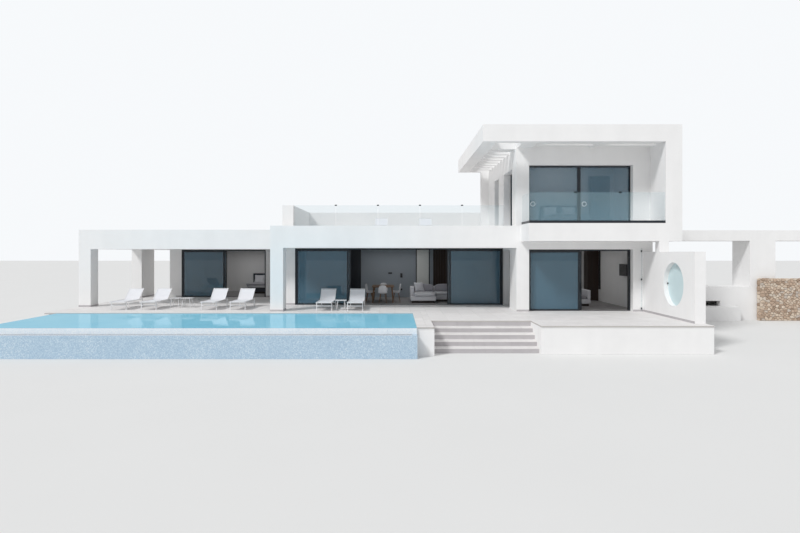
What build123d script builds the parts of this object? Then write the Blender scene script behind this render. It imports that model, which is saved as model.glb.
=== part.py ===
# Flat-roofed beach house: a long single-storey living block, a bedroom wing set back on
# its left, a two-storey block on its right with a deep pergola canopy, an open gallery
# beyond it, and a raised terrace in front with steps, sun loungers and an infinity pool.
# Millimetres. X runs across the front, Y runs back from the front of the living block,
# Z is up from the lawn.
import os

from build123d import *

os.makedirs("parts", exist_ok=True)

# Heights of the deck and of each storey
deck_level = 900
paving = 50
riser_count = 5
going = 300
nosing = 20
wing_clear = 2420
wing_roof_depth = 810
main_clear = 2460
main_roof_depth = 860
guest_clear = 2700
slab_depth = 650
upper_clear = 2980
canopy_depth = 620

# Widths across the front, from left to right
main_left = -4830
left_wing_width = 8420
main_width = 9530
party_wall = 490
guest_opening = 4020
guest_pier = 410
screen_wall = 350
side_overhang = 490

# Depths from front to back
wing_setback = 1950
wing_portico = 5610
bedroom_depth = 4940
portico_depth = 3000
main_depth = 7800
guest_depth = 7350
balcony_reach = 1400
balcony_inset = 170

# Walls and pillars
wall = 300
guest_front_wall = 450
door_recess = 270
living_left_wall_width = 470
pillar_width = 500
pillar_depth = 650
side_passage = 1750
bedroom_left_pier = 600
bedroom_door_width = 4300
rear_pier_start = 5150
rear_pier_depth = 1600
roof_rim = 300
roof_well = 120
parapet_height = 980
parapet_start = 2550
fin_width = 370
column_width = 600
partition = 120
guest_partition_start = 5800
upper_partition_start = 3930

# Front terrace
cheek_width = 540
cheek_front = -4870
cheek_face = 100
stair_width = 3350
stair_top = -3090
podium_front = -4550

# Screen wall
screen_front = -4030
screen_height = 2310
round_window_radius = 760
round_window_centre = (-2500, deck_level + 1180)
post_depth = 350

# Pool
pool_right = 670
pool_front = -4940
pool_back = -550
basin_wall = 250
basin_floor = 150
weir_drop = 30
coping = 300
gutter_width = 430
gutter_drop = 210
gutter_wall = 150
gutter_channel = 260

# Door and window openings
guest_door_clear = 2400
upper_door_clear = 2320
side_window_start = 1400
side_window_end = 3050
side_window_clear = 2380
side_openings = ((900, 2800), (4060, 5200))
side_opening_clear = 2270
side_window_inset = 300
rear_window = 1400
rear_sill = 900
rear_clear = 2200
rear_window_inset = 100
bedroom_window_offset = 100
guest_window_offset = 600
inner_door_offset = 3530
inner_door_width = 980
inner_door_clear = 2380

# Canopy and its pergola
canopy_reach = 1490
edge_beam = 540
pergola_width = 980
front_beam = 360
front_opening = 1320
cross_beam = 550
slat_count = 8
slat_pitch = 780
slat_width = 200
slat_depth = 350
slot_inset_left = 110
slot_divider = 150
slot_rows = ((-900, -480), (-340, 0))

# Open gallery, its base with the cellar window, and the rubble wall beyond it
gallery_front = 5100
gallery_depth = 1500
gallery_clear = 2830
gallery_beam = 490
gallery_bay = 6240
gallery_pier = 1200
gallery_second_bay = 2400
gallery_sill = 655
gallery_floor = 200
cellar_window_offset = 4130
cellar_window_width = 1200
cellar_window_height = 240
kerb_length = 6080
kerb_reach = 400
kerb_drop = 20
rubble_wall_offset = 270
rubble_wall_sill = 1080
rubble_wall_depth = 300

# Glass balustrades
shoe_width = 60
shoe_height = 100
shoe_slot = 80
rail_pane = 20
roof_rail_line = 2600
roof_rail_height = 1110
roof_rail_panes = 5
balcony_rail_height = 1130
balcony_rail_panes = 3
edge_distance = 30
pane_gap = 16
clamp_width = 90
clamp_depth = 50
clamp_height = 45

# Frames and glass of the doors and windows
jamb = 60
head_bar = 60
frame_depth = 160
stile = 60
sash_depth = 60
sash_margin = 15
track_gap = 10
pane = 24
rail_height = 10
rail_width = 8
roller_radius = 18
roller_width = 20
running_gap = 0.3
sash_lift = 8
head_gap = 6
meeting_gap = 10
stack_offset = 100
handle_height = 400
handle_reach = 40
handle_bar = 25
handle_level = 900
window_bar = 60
window_depth = 80

# Sun loungers, given by their left side and front end, and the side tables between them
lounger_width = 620
lounger_length = 1880
lounger_seat = 340
lounger_back_run = 520
lounger_back_rise = 430
lounger_tube = 30
lounger_leg_inset = 160
lounger_rear_leg = 1720
sling = 8
deck_loungers = ((-11270, 430), (-10080, 430), (-7690, 430), (-6550, 430), (-3080, 90), (-1870, 90))
roof_loungers = ((-970, 4400), (1160, 4400))
side_table_size = 420
side_table_height = 400
side_table_top = 20
side_tables = ((-9290, 1500), (-8820, 1500), (-2340, 330))

# Dining table and chairs
table_left = -1050
table_front = 3900
table_width = 1000
table_length = 1600
table_height = 740
table_top = 40
table_leg = 60
chair_width = 440
chair_depth = 440
chair_seat = 430
chair_back = 390
chair_shell = 30
chair_leg = 35
chair_gap = 120

# Sofa, beds and the panels and fittings on the walls
sofa_left = 710
sofa_front = 3850
sofa_length = 2900
chaise_width = 1140
sofa_reach = 1750
sofa_depth = 1000
sofa_plinth = 100
sofa_plinth_inset = 60
sofa_seat = 430
sofa_arm = 160
sofa_back = 680
bed_length = 2000
bed_width = 1700
bed_top = 560
bed_plinth = 100
bed_plinth_inset = 80
bedroom_bed_left = -8300
guest_sofa_left = 6310
guest_sofa_front = 2290
guest_sofa_length = 2000
guest_sofa_depth = 950
upper_bed_left = 6500
headboard = 80
headboard_height = 1050
panel_thickness = 40
living_panels = ((1960, 670), (5420, 710), (6300, 760))
wardrobe_width = 520
wardrobe_depth = 560
television_width = 800
television_height = 490
television_thickness = 45
television_front = 1300
television_level = 1310
bracket_reach = 130
bracket_width = 120
bracket_height = 200
radiator_width = 110
radiator_depth = 60
radiator_front = 4950
radiator_low = 560
radiator_high = 2500
plate_reach = 40
wall_plates = ((4020, 1195, 190, 65), (4630, 1000, 110, 220), (4650, 360, 80, 80))

# Grid lines that follow from these sizes
plinth_top = deck_level - paving
riser = deck_level / riser_count
left_end = main_left - left_wing_width
main_right = main_left + main_width
guest_left = main_right + party_wall
guest_door_right = guest_left + guest_opening
guest_right = guest_door_right + guest_pier
flank_face = guest_right + screen_wall
slab_right = flank_face + side_overhang
bedroom_front = wing_setback + wing_portico
wing_back = bedroom_front + bedroom_depth
bedroom_left = left_end + side_passage
bedroom_door_left = bedroom_left + bedroom_left_pier
bedroom_door_right = bedroom_door_left + bedroom_door_width
living_door_left = main_left + living_left_wall_width
wing_soffit = deck_level + wing_clear
wing_top = wing_soffit + wing_roof_depth
main_soffit = deck_level + main_clear
main_top = main_soffit + main_roof_depth
terrace_floor = main_top - roof_well
guest_soffit = deck_level + guest_clear
upper_floor = guest_soffit + slab_depth
canopy_soffit = upper_floor + upper_clear
canopy_top = canopy_soffit + canopy_depth
cheek_right = pool_right + cheek_width
stair_right = cheek_right + stair_width
pool_left = left_end + gutter_width
plinth_front = pool_back + basin_wall
guest_door_head = deck_level + guest_door_clear
upper_door_head = upper_floor + upper_door_clear
side_window_head = deck_level + side_window_clear
side_opening_head = upper_floor + side_opening_clear
bedroom_window_left = main_left - wall - bedroom_window_offset - rear_window
guest_window_left = guest_left + guest_window_offset
balcony_left = main_right + balcony_inset
column_left = slab_right - column_width


def level(z):
    return Plane.XY.offset(z)


def facade(y):
    return Plane.XZ.offset(-y)


def flank(x):
    return Plane.YZ.offset(x)


def bay(start, end, low, high, mode=Mode.ADD):
    with Locations(((start + end) / 2, (low + high) / 2)):
        Rectangle(end - start, high - low, mode=mode)


def ring(start, end, low, high, bar):
    bay(start, end, low, high)
    bay(start + bar, end - bar, low + bar, high - bar, mode=Mode.SUBTRACT)


def save(piece, label):
    piece.part.label = label
    export_step(piece.part, f"parts/{label}.step")


# Masonry base: a plinth under the rooms and porticoes, and the terrace in front of it

def pool_footprint(mode=Mode.ADD):
    bay(pool_left, pool_right, pool_front, plinth_front, mode)
    bay(pool_right, pool_right + basin_wall, cheek_front + cheek_face, plinth_front, mode)


with BuildPart() as house_plinth:
    with BuildSketch():
        bay(left_end, main_left, plinth_front, wing_back)
        bay(main_left, main_right, plinth_front, main_depth)
        bay(main_right, flank_face, plinth_front, guest_depth)
    extrude(amount=plinth_top)
save(house_plinth, "house_plinth")

with BuildPart() as terrace_podium:
    with BuildSketch():
        bay(pool_right, cheek_right, cheek_front, plinth_front)
        bay(cheek_right, stair_right, stair_top, plinth_front)
        bay(stair_right, flank_face, podium_front, plinth_front)
        pool_footprint(mode=Mode.SUBTRACT)
    extrude(amount=plinth_top)
save(terrace_podium, "terrace_podium")

# Flight of steps between the cheek and the right-hand podium, with a stone slab on each step

with BuildPart() as terrace_steps:
    with BuildSketch(flank(cheek_right)):
        for step in range(1, riser_count):
            bay(stair_top - step * going, stair_top - (step - 1) * going,
                0, deck_level - step * riser - paving)
    extrude(amount=stair_width)
save(terrace_steps, "terrace_steps")

with BuildPart() as step_treads:
    with BuildSketch(flank(cheek_right)):
        for step in range(1, riser_count):
            tread_top = deck_level - step * riser
            bay(stair_top - step * going - nosing, stair_top - (step - 1) * going,
                tread_top - paving, tread_top)
    extrude(amount=stair_width)
save(step_treads, "step_treads")

# Pool: a tank whose front and left walls are the weir, an overflow gutter outside them,
# and a coping on the other two sides

with BuildPart() as pool_basin:
    with BuildSketch():
        pool_footprint()
    extrude(amount=plinth_top)
    with BuildSketch(level(plinth_top)):
        bay(pool_left, pool_right, pool_front, pool_front + basin_wall)
        bay(pool_left, pool_left + basin_wall, pool_front, pool_back)
    extrude(amount=paving - weir_drop)
    with BuildSketch(level(basin_floor)):
        bay(pool_left + basin_wall, pool_right, pool_front + basin_wall, pool_back)
    extrude(amount=deck_level, mode=Mode.SUBTRACT)
save(pool_basin, "pool_basin")

with BuildPart() as pool_gutter:
    gutter_top = deck_level - gutter_drop
    with BuildSketch():
        bay(left_end, pool_right, pool_front - gutter_width, pool_front)
        bay(left_end, pool_left, pool_front - gutter_width, pool_back)
    extrude(amount=gutter_top)
    with BuildSketch(level(gutter_top - gutter_channel)):
        bay(left_end + gutter_wall, pool_right - gutter_wall,
            pool_front - gutter_width + gutter_wall, pool_front)
        bay(left_end + gutter_wall, pool_left,
            pool_front - gutter_width + gutter_wall, pool_back - gutter_wall)
    extrude(amount=gutter_channel, mode=Mode.SUBTRACT)
save(pool_gutter, "pool_gutter")

with BuildPart() as pool_coping:
    with BuildSketch(level(plinth_top)):
        bay(left_end, pool_right + coping, pool_back, pool_back + coping)
        bay(pool_right, pool_right + coping, cheek_front - nosing, pool_back)
    extrude(amount=paving)
save(pool_coping, "pool_coping")


# Pillars and piers of the porticoes

def wing_pillar_plan(mode=Mode.ADD):
    bay(left_end, left_end + pillar_width, wing_setback, wing_setback + pillar_depth, mode)
    bay(left_end, left_end + pillar_width, wing_setback + rear_pier_start,
        wing_setback + rear_pier_start + rear_pier_depth, mode)


def main_pillar_plan(mode=Mode.ADD):
    bay(main_left, main_left + pillar_width, 0, pillar_depth, mode)


with BuildPart() as portico_pillars:
    with BuildSketch(level(plinth_top)):
        wing_pillar_plan()
    extrude(amount=wing_soffit - plinth_top)
    with BuildSketch(level(plinth_top)):
        main_pillar_plan()
    extrude(amount=main_soffit - plinth_top)
save(portico_pillars, "portico_pillars")

# Paving of the terraces and porticoes, cut round everything that stands on the plinth

with BuildPart() as deck_paving:
    with BuildSketch(level(plinth_top)):
        bay(left_end, main_left, pool_back + coping, bedroom_front)
        bay(left_end, bedroom_left, bedroom_front, wing_back)
        bay(main_left, main_right, pool_back + coping, portico_depth)
        bay(pool_right + coping, cheek_right, cheek_front - nosing, 0)
        bay(cheek_right, stair_right, stair_top - nosing, 0)
        bay(stair_right, flank_face, podium_front - nosing, 0)
        bay(guest_left, guest_door_right, 0, door_recess)
        wing_pillar_plan(mode=Mode.SUBTRACT)
        main_pillar_plan(mode=Mode.SUBTRACT)
        bay(guest_right, flank_face, screen_front, 0, mode=Mode.SUBTRACT)
    extrude(amount=paving)
save(deck_paving, "deck_paving")

with BuildPart() as interior_floors:
    with BuildSketch(level(plinth_top)):
        bay(bedroom_left + wall, main_left - wall, bedroom_front + wall, wing_back - wall)
        bay(bedroom_door_left, bedroom_door_right, bedroom_front + frame_depth, bedroom_front + wall)
        bay(living_door_left, main_right, portico_depth + frame_depth, main_depth - wall)
        bay(guest_left, guest_right, guest_front_wall, guest_depth - wall)
        bay(guest_left, guest_door_right, door_recess + frame_depth, guest_front_wall)
    extrude(amount=paving)
save(interior_floors, "interior_floors")


def rear_window_opening(left, floor, mode=Mode.SUBTRACT):
    bay(left, left + rear_window, floor + rear_sill, floor + rear_clear, mode)


# Bedroom wing

with BuildPart() as bedroom_side_walls:
    with BuildSketch(level(plinth_top)):
        bay(bedroom_left, bedroom_left + wall, bedroom_front, wing_back)
        bay(main_left - wall, main_left, bedroom_front, wing_back)
    extrude(amount=wing_soffit - plinth_top)
save(bedroom_side_walls, "bedroom_side_walls")

with BuildPart() as bedroom_front_walls:
    with BuildSketch(level(plinth_top)):
        bay(bedroom_left + wall, bedroom_door_left, bedroom_front, bedroom_front + wall)
        bay(bedroom_door_right, main_left - wall, bedroom_front, bedroom_front + wall)
    extrude(amount=wing_soffit - plinth_top)
save(bedroom_front_walls, "bedroom_front_walls")

with BuildPart() as bedroom_rear_wall:
    with BuildSketch(facade(wing_back - wall)):
        bay(bedroom_left + wall, main_left - wall, plinth_top, wing_soffit)
        rear_window_opening(bedroom_window_left, deck_level)
    extrude(amount=-wall)
save(bedroom_rear_wall, "bedroom_rear_wall")

with BuildPart() as left_wing_roof:
    with BuildSketch(level(wing_soffit)):
        bay(left_end, main_left, wing_setback, wing_back)
    extrude(amount=wing_roof_depth)
    with BuildSketch(level(wing_top)):
        bay(left_end + roof_rim, main_left - roof_rim, wing_setback + roof_rim, wing_back - roof_rim)
    extrude(amount=-roof_well, mode=Mode.SUBTRACT)
save(left_wing_roof, "left_wing_roof")

# Living block

with BuildPart() as living_left_wall:
    with BuildSketch(level(plinth_top)):
        bay(main_left, living_door_left, portico_depth, main_depth)
    extrude(amount=main_soffit - plinth_top)
save(living_left_wall, "living_left_wall")

with BuildPart() as living_rear_wall:
    with BuildSketch(facade(main_depth - wall)):
        bay(living_door_left, main_right, plinth_top, main_soffit)
    extrude(amount=-wall)
save(living_rear_wall, "living_rear_wall")

with BuildPart() as main_roof:
    with BuildSketch(level(main_soffit)):
        bay(main_left, main_right, 0, main_depth)
    extrude(amount=main_roof_depth)
    with BuildSketch(level(main_top)):
        bay(living_door_left, main_right, roof_rim, main_depth - wall)
    extrude(amount=-roof_well, mode=Mode.SUBTRACT)
save(main_roof, "main_roof")

with BuildPart() as roof_parapet:
    with BuildSketch(level(main_top)):
        bay(main_left, living_door_left, parapet_start, main_depth)
        bay(living_door_left, main_right, main_depth - wall, main_depth)
    extrude(amount=parapet_height)
save(roof_parapet, "roof_parapet")

# Two-storey block, lower storey

with BuildPart() as party_wall_piece:
    with BuildSketch(flank(main_right)):
        bay(0, guest_depth, plinth_top, guest_soffit)
        bay(side_window_start, side_window_end, deck_level, side_window_head, mode=Mode.SUBTRACT)
    extrude(amount=party_wall)
save(party_wall_piece, "guest_left_wall")

with BuildPart() as guest_lintel:
    with BuildSketch(facade(0)):
        bay(guest_left, guest_door_right, guest_door_head, guest_soffit)
    extrude(amount=-guest_front_wall)
save(guest_lintel, "guest_lintel")

with BuildPart() as guest_pier_wall:
    with BuildSketch(level(plinth_top)):
        bay(guest_door_right, guest_right, 0, guest_front_wall)
    extrude(amount=guest_soffit - plinth_top)
save(guest_pier_wall, "guest_front_pier")

with BuildPart() as guest_right_wall:
    with BuildSketch(level(plinth_top)):
        bay(guest_right, flank_face, 0, guest_depth)
    extrude(amount=guest_soffit - plinth_top)
save(guest_right_wall, "guest_right_wall")

with BuildPart() as guest_rear_wall:
    with BuildSketch(facade(guest_depth - wall)):
        bay(guest_left, guest_right, plinth_top, guest_soffit)
        rear_window_opening(guest_window_left, deck_level)
    extrude(amount=-wall)
    with BuildSketch(facade(guest_partition_start)):
        bay(guest_left, guest_right, deck_level, guest_soffit)
    extrude(amount=-partition)
save(guest_rear_wall, "guest_rear_wall")

with BuildPart() as upper_floor_slab:
    with BuildSketch(level(guest_soffit)):
        bay(main_right, slab_right, 0, guest_depth)
        bay(balcony_left, slab_right, -balcony_reach, 0)
    extrude(amount=slab_depth)
save(upper_floor_slab, "upper_floor_slab")

# Two-storey block, upper storey

with BuildPart() as upper_left_wall:
    with BuildSketch(flank(main_right)):
        bay(0, guest_depth - wall, upper_floor, canopy_soffit)
        for start, end in side_openings:
            bay(start, end, upper_floor, side_opening_head, mode=Mode.SUBTRACT)
    extrude(amount=party_wall)
save(upper_left_wall, "upper_left_wall")

with BuildPart() as upper_front_wall:
    with BuildSketch(facade(0)):
        bay(guest_left, column_left, upper_floor, canopy_soffit)
        bay(guest_left, guest_door_right, upper_floor, upper_door_head, mode=Mode.SUBTRACT)
    extrude(amount=-guest_front_wall)
save(upper_front_wall, "upper_front_wall")

with BuildPart() as upper_right_wall:
    with BuildSketch(flank(column_left)):
        bay(-balcony_reach, guest_depth, upper_floor, canopy_soffit)
    extrude(amount=column_width)
save(upper_right_wall, "upper_right_wall")

with BuildPart() as upper_rear_wall:
    with BuildSketch(facade(guest_depth - wall)):
        bay(main_right, column_left, upper_floor, canopy_soffit)
        bay(main_right - fin_width, main_right, terrace_floor, canopy_soffit)
        rear_window_opening(guest_window_left, upper_floor)
    extrude(amount=-wall)
    with BuildSketch(facade(upper_partition_start)):
        inner_door_left = guest_left + inner_door_offset
        bay(guest_left, column_left, upper_floor, canopy_soffit)
        bay(inner_door_left, inner_door_left + inner_door_width,
            upper_floor, upper_floor + inner_door_clear, mode=Mode.SUBTRACT)
    extrude(amount=-partition)
save(upper_rear_wall, "upper_rear_wall")

# Canopy: a deep slab with light slots over the balcony and a pergola along its left side

canopy_left = main_right - canopy_reach
slot_left = guest_left + slot_inset_left
slot_right = column_left
pergola_left = canopy_left + edge_beam
pergola_right = pergola_left + pergola_width
pergola_start = front_opening + front_beam - balcony_reach
first_slat = pergola_start + cross_beam
pergola_end = first_slat + slat_count * slat_pitch

with BuildPart() as canopy_frame:
    with BuildSketch(level(canopy_soffit)):
        bay(canopy_left, slab_right, -balcony_reach, guest_depth)
        bay(pergola_left, pergola_right, front_beam - balcony_reach, pergola_start, mode=Mode.SUBTRACT)
        bay(pergola_left, pergola_right, pergola_start + slat_width, pergola_end, mode=Mode.SUBTRACT)
        slot_length = (slot_right - slot_left - slot_divider) / 2
        for row_start, row_end in slot_rows:
            bay(slot_left, slot_left + slot_length, row_start, row_end, mode=Mode.SUBTRACT)
            bay(slot_right - slot_length, slot_right, row_start, row_end, mode=Mode.SUBTRACT)
    extrude(amount=canopy_depth)
    with BuildSketch(level(canopy_top)):
        bay(guest_left + roof_rim, column_left, wall + roof_rim, guest_depth - wall)
    extrude(amount=-roof_well, mode=Mode.SUBTRACT)
save(canopy_frame, "canopy_frame")

with BuildPart() as pergola_slats:
    with BuildSketch(level(canopy_soffit)):
        for slat in range(slat_count):
            slat_start = first_slat + slat * slat_pitch
            bay(pergola_left, pergola_right, slat_start, slat_start + slat_width)
    extrude(amount=slat_depth)
save(pergola_slats, "pergola_slats")

# Free-standing screen wall with the round window, and the post from it to the balcony

with BuildPart() as round_window_wall:
    with BuildSketch(flank(guest_right)):
        bay(screen_front, 0, plinth_top, deck_level + screen_height)
        bay(-balcony_reach, post_depth - balcony_reach, deck_level + screen_height, guest_soffit)
        with Locations(round_window_centre):
            Circle(round_window_radius, mode=Mode.SUBTRACT)
    extrude(amount=screen_wall)
save(round_window_wall, "round_window_wall")

with BuildPart() as round_window_glass:
    with BuildSketch(flank(guest_right + (screen_wall - pane) / 2)):
        with Locations(round_window_centre):
            Circle(round_window_radius - running_gap)
    extrude(amount=pane)
save(round_window_glass, "round_window_glass")

# Open gallery to the right

gallery_back = gallery_front + gallery_depth
gallery_soffit = deck_level + gallery_clear
gallery_sill_level = deck_level + gallery_sill
cellar_window_left = flank_face + cellar_window_offset
cellar_window_foot = deck_level - cellar_window_height
first_pier = slab_right + gallery_bay
second_bay_start = first_pier + gallery_pier
second_pier = second_bay_start + gallery_second_bay
gallery_right = second_pier + gallery_pier

with BuildPart() as gallery_roof:
    with BuildSketch(level(gallery_soffit)):
        bay(slab_right, gallery_right, gallery_front, gallery_back)
    extrude(amount=gallery_beam)
save(gallery_roof, "gallery_roof")

with BuildPart() as gallery_piers:
    with BuildSketch():
        bay(first_pier, second_bay_start, gallery_front, gallery_back)
        bay(second_pier, gallery_right, gallery_front, gallery_back)
    extrude(amount=gallery_soffit)
save(gallery_piers, "gallery_piers")

with BuildPart() as gallery_plinth:
    with BuildSketch():
        bay(flank_face, first_pier, gallery_front, gallery_back)
    extrude(amount=gallery_sill_level)
    with BuildSketch():
        bay(flank_face + wall, first_pier - wall, gallery_front + wall, gallery_back - wall)
    extrude(amount=gallery_sill_level - gallery_floor, mode=Mode.SUBTRACT)
    with BuildSketch(facade(gallery_front)):
        bay(cellar_window_left, cellar_window_left + cellar_window_width,
            cellar_window_foot, deck_level)
    extrude(amount=-wall, mode=Mode.SUBTRACT)
    with BuildSketch():
        bay(flank_face, flank_face + kerb_length, gallery_front - kerb_reach, gallery_front)
    extrude(amount=cellar_window_foot - kerb_drop)
save(gallery_plinth, "gallery_plinth")

with BuildPart() as rubble_wall:
    with BuildSketch():
        bay(first_pier + rubble_wall_offset, gallery_right, gallery_front - rubble_wall_depth, gallery_front)
    extrude(amount=deck_level + rubble_wall_sill)
save(rubble_wall, "rubble_wall")

# Glass balustrades: a channel on the floor, panes standing in it and clamps over the joints

balcony_rail_left = balcony_left + edge_distance
balcony_rail_line = edge_distance - balcony_reach
balcony_rail_right = column_left


def pane_starts(start, end, count):
    width = (end - start - (count + 1) * pane_gap) / count
    return [(start + pane_gap + index * (width + pane_gap), width) for index in range(count)]


slot_width = rail_pane + 2 * running_gap
slot_inset = (shoe_width - slot_width) / 2
pane_inset = (shoe_width - rail_pane) / 2

with BuildPart() as balustrade_shoes:
    with BuildSketch(level(terrace_floor)):
        bay(living_door_left, main_right, roof_rail_line, roof_rail_line + shoe_width)
    extrude(amount=shoe_height)
    with BuildSketch(level(upper_floor)):
        bay(balcony_rail_left, balcony_rail_right, balcony_rail_line, balcony_rail_line + shoe_width)
        bay(balcony_rail_left, balcony_rail_left + shoe_width, balcony_rail_line, 0)
    extrude(amount=shoe_height)
    with BuildSketch(level(terrace_floor + shoe_height)):
        bay(living_door_left, main_right, roof_rail_line + slot_inset,
            roof_rail_line + shoe_width - slot_inset)
    extrude(amount=-shoe_slot, mode=Mode.SUBTRACT)
    with BuildSketch(level(upper_floor + shoe_height)):
        bay(balcony_rail_left + slot_inset, balcony_rail_right,
            balcony_rail_line + slot_inset, balcony_rail_line + shoe_width - slot_inset)
        bay(balcony_rail_left + slot_inset, balcony_rail_left + shoe_width - slot_inset,
            balcony_rail_line + slot_inset, 0)
    extrude(amount=-shoe_slot, mode=Mode.SUBTRACT)
save(balustrade_shoes, "balustrade_shoes")

front_glass_left = balcony_rail_left + pane_inset + rail_pane

with BuildPart() as balustrade_glass:
    with BuildSketch(level(terrace_floor + shoe_height - shoe_slot)):
        for start, width in pane_starts(living_door_left, main_right, roof_rail_panes):
            bay(start, start + width, roof_rail_line + pane_inset,
                roof_rail_line + pane_inset + rail_pane)
    extrude(amount=roof_rail_height - shoe_height + shoe_slot)
    with BuildSketch(level(upper_floor + shoe_height - shoe_slot)):
        for start, width in pane_starts(front_glass_left, balcony_rail_right, balcony_rail_panes):
            bay(start, start + width, balcony_rail_line + pane_inset,
                balcony_rail_line + pane_inset + rail_pane)
        bay(balcony_rail_left + pane_inset, balcony_rail_left + pane_inset + rail_pane,
            balcony_rail_line + pane_inset, -pane_gap)
    extrude(amount=balcony_rail_height - shoe_height + shoe_slot)
save(balustrade_glass, "balustrade_glass")

clamp_points = []
for start, width in pane_starts(living_door_left, main_right, roof_rail_panes)[1:]:
    clamp_points.append((start - pane_gap / 2, roof_rail_line, terrace_floor + roof_rail_height))
for start, width in pane_starts(front_glass_left, balcony_rail_right, balcony_rail_panes)[1:]:
    clamp_points.append((start - pane_gap / 2, balcony_rail_line, upper_floor + balcony_rail_height))

with BuildPart() as balustrade_clamps:
    for x, line, top in clamp_points:
        with BuildSketch(flank(x - clamp_width / 2)):
            bay(line + (shoe_width - clamp_depth) / 2, line + (shoe_width + clamp_depth) / 2,
                top - clamp_height / 2, top + clamp_height / 2)
            bay(line + slot_inset, line + shoe_width - slot_inset,
                top - clamp_height / 2, top + running_gap, mode=Mode.SUBTRACT)
        extrude(amount=clamp_width)
save(balustrade_clamps, "balustrade_clamps")

# Sliding doors. Each opening has jambs, a head bar and a sill with a rail, a fixed panel in
# the outer track and a sliding panel behind it in the inner track.

door_openings = (
    (bedroom_door_left, bedroom_door_right, bedroom_front, wing_soffit),
    (living_door_left, main_right, portico_depth, main_soffit),
    (guest_left, guest_door_right, door_recess, guest_door_head),
)
inner_track = sash_margin + sash_depth + track_gap

with BuildPart() as door_jambs:
    for left, right, face, head in door_openings:
        with BuildSketch(level(deck_level)):
            bay(left, left + jamb, face, face + frame_depth)
            bay(right - jamb, right, face, face + frame_depth)
        extrude(amount=head - head_bar - deck_level)
save(door_jambs, "door_jambs")

with BuildPart() as door_heads:
    for left, right, face, head in door_openings:
        with BuildSketch(facade(face)):
            bay(left, right, head - head_bar, head)
        extrude(amount=-frame_depth)
save(door_heads, "door_heads")

with BuildPart() as door_sills:
    for left, right, face, head in door_openings:
        rail_line = face + inner_track + sash_depth / 2
        with BuildSketch(flank(left)):
            bay(face, face + frame_depth, plinth_top, deck_level)
        extrude(amount=right - left)
        with BuildSketch(level(deck_level)):
            bay(left + jamb, right - jamb, rail_line - rail_width / 2, rail_line + rail_width / 2)
        extrude(amount=rail_height)
save(door_sills, "door_sills")


def panel_width(left, right, panels):
    return (right - left - 2 * jamb) / panels + stile / 2


bedroom_panel = panel_width(bedroom_door_left, bedroom_door_right, 2)
living_panel = panel_width(living_door_left, main_right, 4)
guest_panel = panel_width(guest_left, guest_door_right, 2)

fixed_panels = (
    (bedroom_door_left + jamb, bedroom_panel, bedroom_front, wing_soffit),
    (living_door_left + jamb, living_panel, portico_depth, main_soffit),
    (main_right - jamb - living_panel, living_panel, portico_depth, main_soffit),
    (guest_left + jamb, guest_panel, door_recess, guest_door_head),
)

with BuildPart() as fixed_sashes:
    for left, width, face, head in fixed_panels:
        with BuildSketch(facade(face + sash_margin)):
            ring(left, left + width, deck_level, head - head_bar, stile)
        extrude(amount=-sash_depth)
save(fixed_sashes, "fixed_sashes")

with BuildPart() as fixed_glass:
    for left, width, face, head in fixed_panels:
        with BuildSketch(facade(face + sash_margin + (sash_depth - pane) / 2)):
            bay(left + stile, left + width - stile, deck_level + stile, head - head_bar - stile)
        extrude(amount=-pane)
save(fixed_glass, "fixed_glass")

sliders = {
    "bedroom": (bedroom_door_left + jamb + stack_offset, bedroom_panel, bedroom_front, wing_soffit, 1),
    "living_left": (living_door_left + jamb + stack_offset, living_panel, portico_depth, main_soffit, 1),
    "living_right": (main_right - jamb - stack_offset - living_panel, living_panel,
                     portico_depth, main_soffit, 0),
    "guest": (guest_left + jamb + stack_offset, guest_panel, door_recess, guest_door_head, 1),
}
rail_top = deck_level + rail_height
slider_bottom = rail_top + running_gap + sash_lift

for name, (left, width, face, head, leads_right) in sliders.items():
    slider_top = head - head_bar - head_gap
    front = face + inner_track
    handle_left = left + (width - stile if leads_right else 0) + (stile - handle_bar) / 2
    with BuildPart() as slider_frame:
        with BuildSketch(facade(front)):
            ring(left, left + width, slider_bottom, slider_top, stile)
        extrude(amount=-sash_depth)
        with BuildSketch(facade(front + (sash_depth - roller_width) / 2)):
            with Locations(*[(left + offset, rail_top + running_gap + roller_radius)
                             for offset in (2 * stile, width - 2 * stile)]):
                Circle(roller_radius)
        extrude(amount=-roller_width)
        with BuildSketch(flank(handle_left)):
            bay(front + sash_depth, front + sash_depth + handle_reach,
                deck_level + handle_level, deck_level + handle_level + handle_height)
            bay(front + sash_depth, front + sash_depth + handle_reach - handle_bar,
                deck_level + handle_level + handle_bar,
                deck_level + handle_level + handle_height - handle_bar, mode=Mode.SUBTRACT)
        extrude(amount=handle_bar)
    save(slider_frame, f"{name}_slider_frame")
    with BuildPart() as slider_glass:
        with BuildSketch(facade(front + (sash_depth - pane) / 2)):
            bay(left + stile, left + width - stile, slider_bottom + stile, slider_top - stile)
        extrude(amount=-pane)
    save(slider_glass, f"{name}_slider_glass")

# Windows and the upper door: a ring of bars in each opening, with a pane in it

upper_middle = (guest_left + guest_door_right) / 2
rear_frames = (
    (bedroom_window_left, deck_level, wing_back - wall + rear_window_inset),
    (guest_window_left, deck_level, guest_depth - wall + rear_window_inset),
    (guest_window_left, upper_floor, guest_depth - wall + rear_window_inset),
)
glass_inset = (window_depth - pane) / 2


def window_ring(start, end, low, high):
    ring(start, end, low, high, window_bar)


def window_pane(start, end, low, high):
    bay(start + window_bar, end - window_bar, low + window_bar, high - window_bar)


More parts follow.
